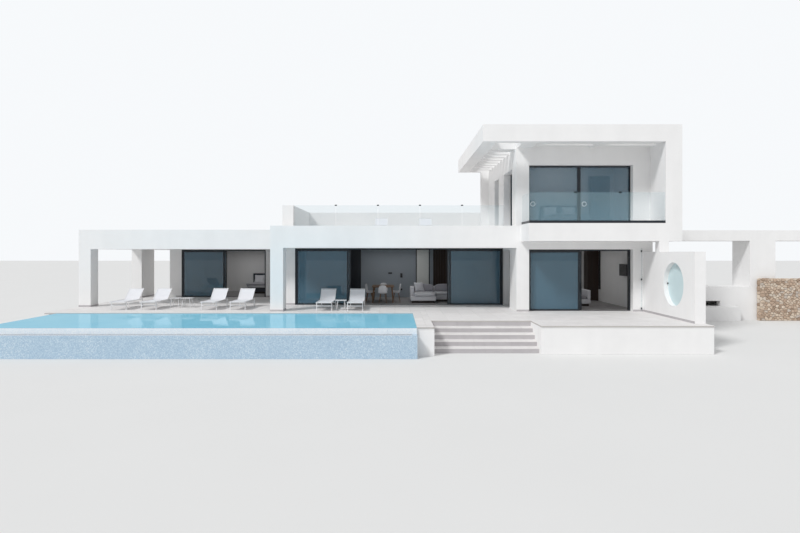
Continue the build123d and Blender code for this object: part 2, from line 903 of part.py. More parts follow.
with BuildPart() as window_frames:
    with BuildSketch(facade(door_recess)):
        window_ring(guest_left, upper_middle, upper_floor, upper_door_head)
        window_ring(upper_middle, guest_door_right, upper_floor, upper_door_head)
    extrude(amount=-window_depth)
    for left, floor, face in rear_frames:
        with BuildSketch(facade(face)):
            window_ring(left, left + rear_window, floor + rear_sill, floor + rear_clear)
        extrude(amount=-window_depth)
    with BuildSketch(flank(main_right + side_window_inset)):
        window_ring(side_window_start, side_window_end, deck_level, side_window_head)
        for start, end in side_openings:
            window_ring(start, end, upper_floor, side_opening_head)
    extrude(amount=window_depth)
save(window_frames, "window_frames")

with BuildPart() as window_glass:
    with BuildSketch(facade(door_recess + glass_inset)):
        window_pane(guest_left, upper_middle, upper_floor, upper_door_head)
        window_pane(upper_middle, guest_door_right, upper_floor, upper_door_head)
    extrude(amount=-pane)
    for left, floor, face in rear_frames:
        with BuildSketch(facade(face + glass_inset)):
            window_pane(left, left + rear_window, floor + rear_sill, floor + rear_clear)
        extrude(amount=-pane)
    with BuildSketch(flank(main_right + side_window_inset + glass_inset)):
        window_pane(side_window_start, side_window_end, deck_level, side_window_head)
        for start, end in side_openings:
            window_pane(start, end, upper_floor, side_opening_head)
    extrude(amount=pane)
save(window_glass, "window_glass")

# Sun loungers: two side frames bent from tube, joined by cross bars, with a sling between them

loungers = [(left, front, deck_level) for left, front in deck_loungers]
loungers += [(left, front, terrace_floor) for left, front in roof_loungers]
back_start = lounger_length - lounger_back_run
sling_top = lounger_seat - lounger_tube / 2


def lounger_side():
    Polygon((back_start, lounger_seat),
            (lounger_length, lounger_seat + lounger_back_rise),
            (lounger_length, lounger_seat + lounger_back_rise - lounger_tube),
            (back_start, lounger_seat - lounger_tube), align=None)
    bay(0, lounger_rear_leg + lounger_tube, lounger_seat - lounger_tube, lounger_seat)
    bay(lounger_leg_inset, lounger_leg_inset + lounger_tube, 0, lounger_seat - lounger_tube / 2)
    bay(lounger_rear_leg, lounger_rear_leg + lounger_tube, 0, lounger_seat - lounger_tube / 2)


with BuildPart() as sun_loungers:
    for left, front, floor in loungers:
        for side in (left, left + lounger_width - lounger_tube):
            with BuildSketch(Plane(origin=(side, front, floor), x_dir=(0, 1, 0), z_dir=(1, 0, 0))):
                lounger_side()
            extrude(amount=lounger_tube)
        with BuildSketch(Plane(origin=(left, front, floor), x_dir=(0, 1, 0), z_dir=(1, 0, 0))):
            bay(0, lounger_tube, lounger_seat - lounger_tube, lounger_seat)
            bay(lounger_leg_inset, lounger_leg_inset + lounger_tube,
                lounger_seat / 2, lounger_seat / 2 + lounger_tube)
            bay(lounger_rear_leg, lounger_rear_leg + lounger_tube,
                lounger_seat / 2, lounger_seat / 2 + lounger_tube)
            bay(lounger_length - lounger_tube, lounger_length,
                lounger_seat + lounger_back_rise - lounger_tube, lounger_seat + lounger_back_rise - sling)
        extrude(amount=lounger_width)
save(sun_loungers, "sun_loungers")

with BuildPart() as lounger_slings:
    for left, front, floor in loungers:
        with BuildSketch(Plane(origin=(left + lounger_tube, front, floor), x_dir=(0, 1, 0), z_dir=(1, 0, 0))):
            with BuildLine():
                Polyline((lounger_tube, sling_top - sling), (lounger_tube, sling_top),
                         (back_start, sling_top),
                         (lounger_length - lounger_tube, sling_top + lounger_back_rise
                          * (lounger_back_run - lounger_tube) / lounger_back_run),
                         (lounger_length - lounger_tube, sling_top - sling + lounger_back_rise
                          * (lounger_back_run - lounger_tube) / lounger_back_run),
                         (back_start, sling_top - sling), close=True)
            make_face()
        extrude(amount=lounger_width - 2 * lounger_tube)
save(lounger_slings, "lounger_slings")

# Side tables, the dining table and its chairs


def corner_legs(left, front, width, length, leg):
    for x in (left, left + width - leg):
        for y in (front, front + length - leg):
            bay(x, x + leg, y, y + leg)


chair_rows = [table_front + table_length * (index + 0.5) / 2 - chair_depth / 2 for index in range(2)]
chairs = [(table_left - chair_gap - chair_depth / 2, row, 180) for row in chair_rows]
chairs += [(table_left + table_width + chair_gap - chair_depth / 2, row, 0) for row in chair_rows]
chairs += [(table_left + (table_width - chair_width) / 2, table_front - chair_gap - chair_depth / 2, 270),
           (table_left + (table_width - chair_width) / 2,
            table_front + table_length + chair_gap - chair_depth / 2, 90)]

with BuildPart() as tables_and_chairs:
    for left, front in side_tables:
        with BuildSketch(level(deck_level)):
            corner_legs(left, front, side_table_size, side_table_size, lounger_tube)
        extrude(amount=side_table_height - side_table_top)
        with BuildSketch(level(deck_level + side_table_height - side_table_top)):
            bay(left, left + side_table_size, front, front + side_table_size)
        extrude(amount=side_table_top)
    with BuildSketch(level(deck_level)):
        corner_legs(table_left, table_front, table_width, table_length, table_leg)
    extrude(amount=table_height - table_top)
    with BuildSketch(level(deck_level + table_height - table_top)):
        bay(table_left, table_left + table_width, table_front, table_front + table_length)
    extrude(amount=table_top)
    for left, front, turn in chairs:
        middle = (left + chair_width / 2, front + chair_depth / 2, deck_level)
        with BuildSketch(Plane(origin=middle).rotated((0, 0, turn))):
            corner_legs(-chair_width / 2 + chair_leg, -chair_depth / 2 + chair_leg,
                        chair_width - 2 * chair_leg, chair_depth - 2 * chair_leg, chair_leg)
        extrude(amount=chair_seat - chair_shell)
        with BuildSketch(Plane(origin=middle).offset(chair_seat - chair_shell).rotated((0, 0, turn))):
            bay(-chair_width / 2, chair_width / 2, -chair_depth / 2, chair_depth / 2)
        extrude(amount=chair_shell)
        with BuildSketch(Plane(origin=middle).offset(chair_seat).rotated((0, 0, turn))):
            bay(chair_width / 2 - chair_shell, chair_width / 2, -chair_depth / 2, chair_depth / 2)
        extrude(amount=chair_back)
save(tables_and_chairs, "tables_and_chairs")

# Corner sofa, guest sofa and beds, each on a recessed plinth


def sofa_plan(inset=0):
    bay(sofa_left + inset, sofa_left + chaise_width - inset, sofa_front + inset,
        sofa_front + sofa_reach - inset)
    bay(sofa_left + inset, sofa_left + sofa_length - inset,
        sofa_front + sofa_reach - sofa_depth + inset, sofa_front + sofa_reach - inset)


beds = (
    (bedroom_bed_left, wing_back - wall - bed_length, deck_level),
    (upper_bed_left, upper_partition_start - bed_length, upper_floor),
)
guest_sofa_right = guest_sofa_left + guest_sofa_length
guest_sofa_back = guest_sofa_front + guest_sofa_depth

with BuildPart() as sofa_and_beds:
    with BuildSketch(level(deck_level)):
        sofa_plan(sofa_plinth_inset)
        bay(guest_sofa_left + sofa_plinth_inset, guest_sofa_right - sofa_plinth_inset,
            guest_sofa_front + sofa_plinth_inset, guest_sofa_back - sofa_plinth_inset)
    extrude(amount=sofa_plinth)
    with BuildSketch(level(deck_level + sofa_plinth)):
        sofa_plan()
        bay(guest_sofa_left, guest_sofa_right, guest_sofa_front, guest_sofa_back)
    extrude(amount=sofa_seat - sofa_plinth)
    with BuildSketch(level(deck_level + sofa_seat)):
        bay(sofa_left, sofa_left + sofa_arm, sofa_front + sofa_depth / 2, sofa_front + sofa_reach)
        bay(sofa_left, sofa_left + sofa_length, sofa_front + sofa_reach - sofa_arm, sofa_front + sofa_reach)
        bay(guest_sofa_left, guest_sofa_right, guest_sofa_front, guest_sofa_back)
        bay(guest_sofa_left + sofa_arm, guest_sofa_right - sofa_arm,
            guest_sofa_front, guest_sofa_back - sofa_arm, mode=Mode.SUBTRACT)
    extrude(amount=sofa_back - sofa_seat)
    for left, front, floor in beds:
        with BuildSketch(level(floor)):
            bay(left + bed_plinth_inset, left + bed_width - bed_plinth_inset,
                front + bed_plinth_inset, front + bed_length)
        extrude(amount=bed_plinth)
        with BuildSketch(level(floor + bed_plinth)):
            bay(left, left + bed_width, front, front + bed_length)
        extrude(amount=bed_top - bed_plinth)
        with BuildSketch(level(floor + bed_top)):
            bay(left, left + bed_width, front + bed_length - headboard, front + bed_length)
        extrude(amount=headboard_height - bed_top)
save(sofa_and_beds, "sofa_and_beds")

# Panels on the rear wall of the living room, the guest wardrobe, and fittings on the walls

with BuildPart() as wall_panels:
    with BuildSketch(facade(main_depth - wall - panel_thickness)):
        for offset, width in living_panels:
            bay(living_door_left + offset, living_door_left + offset + width, deck_level, main_soffit)
    extrude(amount=-panel_thickness)
    with BuildSketch(level(deck_level)):
        bay(guest_right - wardrobe_width, guest_right,
            guest_partition_start - wardrobe_depth, guest_partition_start)
    extrude(amount=guest_clear)
save(wall_panels, "wall_panels")

with BuildPart() as wall_fittings:
    screen_middle = television_front + television_width / 2
    screen_height_middle = television_level + television_height / 2
    with BuildSketch(flank(guest_right - bracket_reach)):
        bay(screen_middle - bracket_width / 2, screen_middle + bracket_width / 2,
            deck_level + screen_height_middle - bracket_height / 2,
            deck_level + screen_height_middle + bracket_height / 2)
    extrude(amount=bracket_reach)
    with BuildSketch(flank(guest_right - bracket_reach - television_thickness)):
        bay(television_front, television_front + television_width,
            deck_level + television_level, deck_level + television_level + television_height)
    extrude(amount=television_thickness)
    with BuildSketch(flank(guest_right - radiator_depth)):
        bay(radiator_front, radiator_front + radiator_width,
            deck_level + radiator_low, deck_level + radiator_high)
    extrude(amount=radiator_depth)
    with BuildSketch(facade(main_depth - wall - plate_reach)):
        for offset, height, width, length in wall_plates:
            bay(living_door_left + offset, living_door_left + offset + width,
                deck_level + height, deck_level + height + length)
    extrude(amount=-plate_reach)
save(wall_fittings, "wall_fittings")
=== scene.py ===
import math
import random

import bmesh
import bpy
from mathutils import Matrix, Vector, noise


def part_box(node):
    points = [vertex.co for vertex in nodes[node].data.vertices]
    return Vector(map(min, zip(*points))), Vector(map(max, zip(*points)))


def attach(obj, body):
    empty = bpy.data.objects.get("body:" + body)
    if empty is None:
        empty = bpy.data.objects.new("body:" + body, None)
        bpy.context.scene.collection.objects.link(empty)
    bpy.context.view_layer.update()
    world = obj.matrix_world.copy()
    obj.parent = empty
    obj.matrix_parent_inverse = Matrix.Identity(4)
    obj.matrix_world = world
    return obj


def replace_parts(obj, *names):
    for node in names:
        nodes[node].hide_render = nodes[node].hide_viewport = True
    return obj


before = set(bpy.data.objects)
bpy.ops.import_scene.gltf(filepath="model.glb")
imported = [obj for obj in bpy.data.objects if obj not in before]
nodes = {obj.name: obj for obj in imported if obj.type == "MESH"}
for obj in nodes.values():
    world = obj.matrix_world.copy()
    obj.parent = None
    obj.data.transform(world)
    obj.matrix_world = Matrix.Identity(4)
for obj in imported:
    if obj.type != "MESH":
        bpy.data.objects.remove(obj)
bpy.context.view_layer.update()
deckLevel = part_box("deck_paving")[1].z


def newObject(name, data):
    thing = bpy.data.objects.new(name, data)
    bpy.context.scene.collection.objects.link(thing)
    return thing


# Shader values written as expressions, with every other node made by one method

class Wire:
    def __init__(self, tree, socket=None):
        self.tree = tree
        self.socket = socket

    def add(self, kind, settings=None, inputs=None, output=0):
        node = self.tree.nodes.new(kind)
        for name, value in (settings or {}).items():
            setattr(node, name, value)
        for name, value in (inputs or {}).items():
            if isinstance(value, Wire):
                self.tree.links.new(value.socket, node.inputs[name])
            else:
                node.inputs[name].default_value = value
        return Wire(self.tree, node.outputs[output]) if node.outputs else None

    def calculate(self, operation, first, second=0.0):
        return self.add("ShaderNodeMath", {"operation": operation}, {0: first, 1: second})

    def __add__(self, other):
        return self.calculate("ADD", self, other)

    def __sub__(self, other):
        return self.calculate("SUBTRACT", self, other)

    def __rsub__(self, other):
        return self.calculate("SUBTRACT", other, self)

    def __mul__(self, other):
        return self.calculate("MULTIPLY", self, other)

    def __truediv__(self, other):
        return self.calculate("DIVIDE", self, other)

    def __rtruediv__(self, other):
        return self.calculate("DIVIDE", other, self)

    def __lt__(self, other):
        return self.calculate("LESS_THAN", self, other)

    def __gt__(self, other):
        return self.calculate("GREATER_THAN", self, other)

    __radd__ = __add__
    __rmul__ = __mul__

    def clamped(self):
        return self.add("ShaderNodeClamp", inputs={"Value": self})

    def place(self):
        return self.add("ShaderNodeTexCoord", output="Object")

    def along(self, axis):
        return self.add("ShaderNodeSeparateXYZ", inputs={0: self.place()}, output=axis)

    def vector(self, operation, other):
        return self.add("ShaderNodeVectorMath", {"operation": operation}, {0: self, 1: other})

    def grain(self, scale, detail=3.0, vector=None):
        return self.add("ShaderNodeTexNoise", inputs={
            "Vector": vector or self.place(), "Scale": scale, "Detail": detail}, output="Fac")

    def stretchedGrain(self, scale, detail, stretch):
        return self.grain(scale, detail, self.place().vector("MULTIPLY", stretch))

    def mixed(self, factor, first, second):
        return self.add("ShaderNodeMix", {"data_type": "RGBA"}, {0: factor, 6: first, 7: second}, 2)

    def ramp(self, stops, factor):
        color = self.add("ShaderNodeValToRGB", inputs={0: factor})
        elements = color.socket.node.color_ramp.elements
        while len(elements) < len(stops):
            elements.new(0.5)
        for element, (position, shade) in zip(elements, stops):
            element.position = position
            element.color = rgb(*shade)
        return color

    def bump(self, height, strength, distance):
        return self.add("ShaderNodeBump", inputs={
            "Height": height, "Strength": strength, "Distance": distance})

    def tone(self):
        return self.add("ShaderNodeAttribute", {"attribute_name": "tone"}, output="Fac")


def rgb(red, green, blue):
    return red, green, blue, 1.0


# The camera stands where the photographer stood, level, with the lens shifted a little

viewSettings = {
    "focal": 610.0,             # pixels, from the round window's ellipse
    "imageWidth": 800.0,
    "imageHeight": 533.0,
    "horizon": (395.0, 252.0),  # where the lines into depth meet
    "sensor": 36.0,
    "reach": 500,
    "place": (0.0, -23.6, 3.2),
}


def makeCamera():
    s = viewSettings
    lens = bpy.data.cameras.new("camera")
    lens.sensor_width = s["sensor"]
    lens.lens = s["focal"] * s["sensor"] / s["imageWidth"]
    lens.shift_x = (s["imageWidth"] / 2 - s["horizon"][0]) / s["imageWidth"]
    lens.shift_y = (s["horizon"][1] - s["imageHeight"] / 2) / s["imageWidth"]
    lens.clip_end = s["reach"]
    camera = newObject("camera", lens)
    camera.location = s["place"]
    camera.rotation_euler = (math.radians(90), 0, 0)
    bpy.context.scene.camera = camera


makeCamera()
print("camera ready")

# Soft studio light: a bright room, one broad key from the upper left, and a glow in each room

lightSettings = {
    "room": 0.60,
    "roomColor": rgb(0.97, 0.98, 1.0),
    "backdrop": rgb(0.93, 0.95, 0.97),
    "key": 1.8,
    "keySpread": 12.0,
    "keyDirection": (0.57, 0.58, -0.78),
    "rooms": {                  # centre, breadth and watts of the light under each ceiling
        "bedroom": ((-8.3, 10.0, 3.25), 2.6, 17.0),
        "living": ((0.0, 5.4, 3.30), 3.0, 20.0),
        "guest": ((7.4, 3.6, 3.54), 2.4, 14.0),
        "upper": ((7.2, 2.4, 7.15), 2.2, 26.0),
    },
}


def makeLights():
    s = lightSettings
    key = bpy.data.lights.new("key", "SUN")
    key.energy = s["key"]
    key.angle = math.radians(s["keySpread"])
    lamp = newObject("key", key)
    lamp.rotation_euler = Vector(s["keyDirection"]).to_track_quat("-Z", "Y").to_euler()
    for name, (place, breadth, watts) in s["rooms"].items():
        glow = bpy.data.lights.new(name, "AREA")
        glow.size = breadth
        glow.energy = watts
        ceiling = newObject(name + "Light", glow)
        ceiling.location = place
        ceiling.visible_camera = False
        ceiling.visible_glossy = False

    world = bpy.data.worlds.new("world")
    bpy.context.scene.world = world
    world.use_nodes = True
    world.node_tree.nodes.clear()
    w = Wire(world.node_tree)
    seen = w.calculate("MAXIMUM", w.add("ShaderNodeLightPath", output="Is Camera Ray"),
                       w.add("ShaderNodeLightPath", output="Is Transmission Ray"))
    room = w.add("ShaderNodeBackground", inputs={"Color": s["roomColor"], "Strength": s["room"]})
    backdrop = w.add("ShaderNodeBackground", inputs={"Color": s["backdrop"]})
    blend = w.add("ShaderNodeMixShader", inputs={0: seen, 1: room, 2: backdrop})
    w.add("ShaderNodeOutputWorld", inputs={"Surface": blend})
    bpy.context.scene.view_settings.view_transform = "Standard"


makeLights()
print("lights ready")


def newMaterial(name, fixed, varying):
    material = bpy.data.materials.new(name)
    material.use_nodes = True
    tree = material.node_tree
    shader = tree.nodes["Principled BSDF"]
    for socket, value in fixed.items():
        shader.inputs[socket].default_value = value
    for socket, wire in varying(Wire(tree)).items():
        tree.links.new(wire.socket, shader.inputs[socket])
    return material


# Lime render with a trowelled surface, on every wall, roof edge and soffit

renderSettings = {
    "color": rgb(0.90, 0.895, 0.89),
    "weathered": rgb(0.83, 0.825, 0.82),
    "indoorShade": rgb(0.34, 0.38, 0.42),
    "shadeLine": 7.5005,        # the living room's rear wall carries a blue-grey painted shade in front of this
    "trowelBump": 0.004,
    "grainBump": 0.0012,
}


def renderFinish(w):
    s = renderSettings
    broad = w.grain(0.4)
    runs = w.stretchedGrain(1.6, 3.0, (1, 1, 0.12))
    trowel = w.grain(3.5, 5)
    tone = ((broad - 0.5) * 1.3 + (runs - 0.5) * 1.1 + (trowel - 0.5) * 0.5 + 0.45).clamped()
    height = trowel * s["trowelBump"] / s["grainBump"] + w.grain(90, 2)
    return {
        "Base Color": w.mixed(tone, s["color"], s["weathered"]),
        "Roughness": 0.72 + w.grain(20) * 0.2,
        "Normal": w.bump(height, 0.35, s["grainBump"]),
    }


# The room side of the living room's rear wall is darkened to a blue-grey painted shade
def shadedFinish(w):
    s = renderSettings
    finish = renderFinish(w)
    indoors = w.along("Y") < s["shadeLine"]
    finish["Base Color"] = w.mixed(indoors, finish["Base Color"], s["indoorShade"])
    return finish


whiteRender = newMaterial("whiteRender", {"Specular IOR Level": 0.3}, renderFinish)
shadedRender = newMaterial("shadedRender", {"Specular IOR Level": 0.3}, shadedFinish)


# Sawn limestone: paving, treads, coping and skirtings, each slab with its own tone

def limestone(name, light, dark):
    def finish(w):
        cloud = w.grain(5, 4)
        bedding = w.stretchedGrain(2.2, 4, (1, 1, 14))
        tone = (w.tone() * 0.55 + (cloud - 0.5) * 0.7 + (bedding - 0.5) * 0.5 + 0.15).clamped()
        vein = ((bedding - 0.62) * 3).clamped() * 0.22
        return {
            "Base Color": w.mixed(vein, w.mixed(tone, light, dark), rgb(0.58, 0.55, 0.53)),
            "Roughness": 0.5 + cloud * 0.2,
            "Normal": w.bump(w.grain(70, 2) + cloud * 2, 0.3, 0.0012),
        }
    return newMaterial(name, {}, finish)


pavingStone = limestone("pavingStone", rgb(0.85, 0.83, 0.82), rgb(0.74, 0.72, 0.71))
# The risers, steps and skirtings are in a darker copy of the paving limestone, partly the stone's own tone
# and partly painted shade
shadeDarkStone = limestone("shadeDarkStone", rgb(0.53, 0.51, 0.52), rgb(0.44, 0.42, 0.43))
indoorStone = limestone("indoorStone", rgb(0.37, 0.355, 0.355), rgb(0.27, 0.26, 0.26))


def sandy(name, roughness, scale, dark, light, strength, distance):
    def finish(w):
        sand = w.grain(scale, 2)
        return {"Base Color": w.mixed(sand, dark, light), "Normal": w.bump(sand, strength, distance)}
    return newMaterial(name, {"Roughness": roughness}, finish)


mortar = sandy("mortar", 0.9, 160, rgb(0.46, 0.44, 0.42), rgb(0.58, 0.56, 0.54), 0.4, 0.001)
earthMortar = sandy("earthMortar", 0.95, 110, rgb(0.30, 0.24, 0.19), rgb(0.44, 0.37, 0.30), 0.5, 0.002)

# Glass mosaic of the pool: small squares, each in its own blue

mosaicSettings = {
    "tile": 0.025,
    "outer": ((0.0, (0.33, 0.47, 0.61)), (0.45, (0.41, 0.55, 0.68)), (0.8, (0.48, 0.62, 0.73)),
              (1.0, (0.62, 0.72, 0.80))),
    "inner": ((0.0, (0.10, 0.48, 0.66)), (0.5, (0.18, 0.58, 0.74)), (1.0, (0.34, 0.70, 0.82))),
    "weir": ((0.0, (0.72, 0.82, 0.90)), (0.5, (0.80, 0.88, 0.94)), (1.0, (0.88, 0.93, 0.96))),
    "wall": 0.25,
}


def mosaic(name, outside, inside=None):
    def finish(w):
        tile, wall = mosaicSettings["tile"], mosaicSettings["wall"]
        shifted = w.place().vector("ADD", (tile / 2, tile / 2, tile / 2))
        picked = w.add("ShaderNodeTexWhiteNoise", inputs={
            "Vector": shifted.vector("SNAP", (tile, tile, tile))}, output="Value")
        color = w.ramp(mosaicSettings[outside], (picked * 0.8 + w.grain(0.9) * 0.35).clamped())
        if inside:
            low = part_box("pool_basin")[0]
            within = (w.along("X") > low.x + wall) * (w.along("Y") > low.y + wall)
            color = w.mixed(within, color, w.ramp(mosaicSettings[inside], picked))
        return {
            "Base Color": color,
            "Roughness": 0.12 + picked * 0.15,
            "Normal": w.bump(picked + w.grain(2 / tile, 1) * 0.3, 0.25, 0.001),
        }
    return newMaterial(name, {"Coat Roughness": 0.1}, finish)


outerMosaic = mosaic("outerMosaic", "outer")
basinMosaic = mosaic("basinMosaic", "outer", "inner")
weirMosaic = mosaic("weirMosaic", "weir")

# Pool water: its own bright depth colour, partly covered by the mirror of its surface

waterSettings = {
    "shallow": rgb(0.36, 0.77, 0.95),
    "deep": rgb(0.24, 0.66, 0.88),
    "alpha": 0.9,
    "mirror": 0.5,
}


def makeWater():
    s = waterSettings

    def surface(w):
        swell = w.grain(0.7, 2)
        return {"Base Color": w.mixed(swell, s["deep"], s["shallow"]),
                "Normal": w.bump(swell * 3 + w.grain(7, 3), 0.1, 0.005)}
    material = newMaterial("water", {"Roughness": 0.02, "IOR": 1.33, "Alpha": s["alpha"]}, surface)
    tree = material.node_tree
    w = Wire(tree)
    mirror = Wire(tree, tree.nodes["Principled BSDF"].outputs[0])
    depth = w.add("ShaderNodeBsdfPrincipled", inputs={
        "Base Color": w.mixed(w.grain(0.7, 2), s["deep"], s["shallow"]), "Roughness": 0.8,
        "Specular IOR Level": 0.0, "Alpha": s["alpha"]})
    blend = w.add("ShaderNodeMixShader", inputs={0: s["mirror"], 1: depth, 2: mirror})
    tree.links.new(blend.socket, tree.nodes["Material Output"].inputs["Surface"])
    return material


water = makeWater()


# Powder-coated aluminium, lacquer and moulded plastic

def coated(name, fresh, worn, roughness, metallic=0.0):
    def finish(w):
        speckle = w.grain(220, 1)
        cloud = w.grain(3)
        return {
            "Base Color": w.mixed(cloud, fresh, worn),
            "Roughness": roughness + (speckle - 0.5) * 0.12 + (cloud - 0.5) * 0.08,
            "Normal": w.bump(speckle, 0.12, 0.0004),
        }
    return newMaterial(name, {"Metallic": metallic}, finish)


darkMetal = coated("darkMetal", rgb(0.010, 0.014, 0.020), rgb(0.020, 0.025, 0.032), 0.36, 0.15)
paleMetal = coated("paleMetal", rgb(0.84, 0.84, 0.85), rgb(0.76, 0.76, 0.77), 0.34)
blackPlastic = coated("blackPlastic", rgb(0.012, 0.012, 0.014), rgb(0.022, 0.022, 0.024), 0.28)
palePlastic = coated("palePlastic", rgb(0.80, 0.80, 0.82), rgb(0.74, 0.74, 0.76), 0.3)
lacquer = coated("lacquer", rgb(0.012, 0.015, 0.022), rgb(0.02, 0.024, 0.032), 0.3)


# Glass: solar-control panes in the doors and windows, their blue carrying a painted sky reflection, and
# clear panes in the balustrades

def pane(name, clean, hazed, opacity, spread, specular=0.5):
    def finish(w):
        haze = w.grain(0.8, 2)
        return {
            "Base Color": w.mixed(haze, clean, hazed),
            "Roughness": 0.012 + haze * 0.02,
            "Alpha": opacity + (haze - 0.5) * spread,
        }
    return newMaterial(name, {"IOR": 1.5, "Specular IOR Level": specular}, finish)


# The door and window panes' blue is partly the glass's own tint and partly painted sky reflection and
# painted room light
tintAndSkyGlass = pane("tintAndSkyGlass", rgb(0.075, 0.170, 0.245), rgb(0.110, 0.215, 0.285), 0.60, 0.1, 0.9)
clearGlass = pane("clearGlass", rgb(0.36, 0.58, 0.66), rgb(0.46, 0.66, 0.72), 0.10, 0.04)


def frostFinish(w):
    frost = w.grain(1.5, 4)
    return {"Base Color": w.mixed(frost, rgb(0.60, 0.76, 0.79), rgb(0.72, 0.85, 0.87)),
            "Roughness": 0.35 + frost * 0.2,
            "Normal": w.bump(w.grain(300, 1), 0.2, 0.0003)}


frostedGlass = newMaterial("frostedGlass", {"IOR": 1.5, "Alpha": 0.94}, frostFinish)
etchedGlass = newMaterial("etchedGlass", {"IOR": 1.5}, lambda w: {
    "Base Color": w.mixed(w.grain(0.8), rgb(0.74, 0.77, 0.74), rgb(0.84, 0.85, 0.82)),
    "Roughness": 0.4 + w.grain(30) * 0.2})


# Timber: dark stained boards indoors, oiled oak for the table and chair legs

def timber(name, dark, light, direction):
    def finish(w):
        figure = w.stretchedGrain(9, 6, direction)
        pores = w.stretchedGrain(60, 3, direction)
        tone = (figure * 0.8 + w.tone() * 0.35 - 0.08).clamped()
        return {
            "Base Color": w.mixed(tone, dark, light),
            "Roughness": 0.42 + pores * 0.2,
            "Normal": w.bump(pores + figure * 0.6, 0.35, 0.0008),
        }
    return newMaterial(name, {}, finish)


stainedBoards = timber("stainedBoards", rgb(0.012, 0.007, 0.005), rgb(0.050, 0.027, 0.017), (3, 3, 0.2))
oak = timber("oak", rgb(0.12, 0.070, 0.040), rgb(0.27, 0.165, 0.095), (3, 0.3, 3))


# Cloth: the open weave of the slings, and the upholstery of sofas and beds

def cloth(name, light, dark, sheen, threads=120, depth=0.0005):
    def finish(w):
        across, along = (w.add("ShaderNodeTexWave", {"bands_direction": direction}, {
            "Vector": w.place(), "Scale": threads, "Distortion": 0.4}, "Fac") for direction in "XY")
        weave = across * along
        return {
            "Base Color": w.mixed((weave * 0.5 + w.grain(4) * 0.5).clamped(), dark, light),
            "Roughness": 0.8 + weave * 0.15,
            "Normal": w.bump(across + along, 0.5, depth),
        }
    return newMaterial(name, {"Sheen Weight": sheen}, finish)


slingCloth = cloth("slingCloth", rgb(0.88, 0.88, 0.90), rgb(0.74, 0.75, 0.79), 0.1, 90, 0.0006)
linen = cloth("linen", rgb(0.82, 0.82, 0.84), rgb(0.70, 0.70, 0.74), 0.3)
greyLinen = cloth("greyLinen", rgb(0.44, 0.43, 0.46), rgb(0.33, 0.32, 0.36), 0.3)
charcoalCloth = cloth("charcoalCloth", rgb(0.060, 0.070, 0.085), rgb(0.030, 0.036, 0.046), 0.2)

# Field stones of the rubble wall, the pebbles that ballast the flat roofs, and the studio's floor

groundSettings = {
    "stones": ((0.0, (0.34, 0.24, 0.17)), (0.25, (0.53, 0.39, 0.29)), (0.6, (0.69, 0.56, 0.44)),
               (0.85, (0.80, 0.70, 0.58)), (1.0, (0.57, 0.52, 0.47))),
    "stain": rgb(0.42, 0.33, 0.26),
    "pebbleScale": 28.0,
    "floor": (0.80, 0.80, 0.79),
    "floorShade": 0.97,
}


def fieldStone(w):
    stain = w.grain(14, 5)
    stone = w.ramp(groundSettings["stones"], w.tone())
    return {
        "Base Color": w.mixed(stain * 0.45, stone, groundSettings["stain"]),
        "Roughness": 0.75 + stain * 0.2,
        "Normal": w.bump(stain + w.grain(60) * 0.4, 0.6, 0.006),
    }


def pebbleFinish(w):
    cells, tone = (w.add("ShaderNodeTexVoronoi", inputs={
        "Vector": w.place(), "Scale": groundSettings["pebbleScale"]}, output=output)
        for output in ("Distance", "Color"))
    level = w.add("ShaderNodeSeparateColor", inputs={0: tone})
    return {
        "Base Color": w.mixed(level, rgb(0.52, 0.51, 0.49), rgb(0.76, 0.75, 0.73)),
        "Normal": w.bump(1 - cells, 0.8, 0.012),
    }


def floorFinish(w):
    pale = groundSettings["floor"]
    shaded = (value * groundSettings["floorShade"] for value in pale)
    return {"Base Color": w.mixed(w.grain(0.3), rgb(*pale), rgb(*shaded))}


rubbleStone = newMaterial("rubbleStone", {}, fieldStone)
pebbles = newMaterial("pebbles", {"Roughness": 0.85}, pebbleFinish)
studioFloor = newMaterial("studioFloor", {"Roughness": 0.9}, floorFinish)
print("materials ready")

# Finishes of the parts that keep their own shape

finishes = {
    whiteRender: (
        "portico_pillars", "bedroom_side_walls", "bedroom_front_walls", "bedroom_rear_wall",
        "left_wing_roof", "living_left_wall", "main_roof", "roof_parapet", "guest_left_wall",
        "guest_lintel", "guest_front_pier", "guest_right_wall", "guest_rear_wall",
        "upper_floor_slab", "upper_left_wall", "upper_front_wall", "upper_right_wall",
        "upper_rear_wall", "canopy_frame", "pergola_slats", "round_window_wall", "gallery_roof",
        "gallery_piers", "gallery_plinth", "house_plinth", "terrace_podium"),
    shadedRender: ("living_rear_wall",),
    shadeDarkStone: ("terrace_steps",),
    basinMosaic: ("pool_basin",),
    outerMosaic: ("pool_gutter",),
    darkMetal: ("door_jambs", "door_heads", "door_sills", "fixed_sashes", "window_frames",
                "balustrade_shoes", "balustrade_clamps", "bedroom_slider_frame",
                "living_left_slider_frame", "living_right_slider_frame", "guest_slider_frame"),
    tintAndSkyGlass: ("fixed_glass", "window_glass", "bedroom_slider_glass", "living_left_slider_glass",
                 "living_right_slider_glass", "guest_slider_glass"),
    clearGlass: ("balustrade_glass",),
    frostedGlass: ("round_window_glass",),
    paleMetal: ("sun_loungers",),
    blackPlastic: ("wall_fittings",),
}

for material, names in finishes.items():
    for name in names:
        for holder in nodes[name].material_slots:
            holder.material = material


# Mesh helpers: pieces, blocks, rods, rows of quads, a node's solids and the tone of loose parts

def addPiece(name, shape, material, toned=False, smooth=False, body="house"):
    bmesh.ops.recalc_face_normals(shape, faces=shape.faces)
    if toned:
        setTones(shape, name)
    for face in shape.faces:
        face.smooth = smooth
    mesh = bpy.data.meshes.new(name)
    shape.to_mesh(mesh)
    shape.free()
    mesh.materials.append(material)
    piece = newObject(name, mesh)
    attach(piece, body)
    return piece


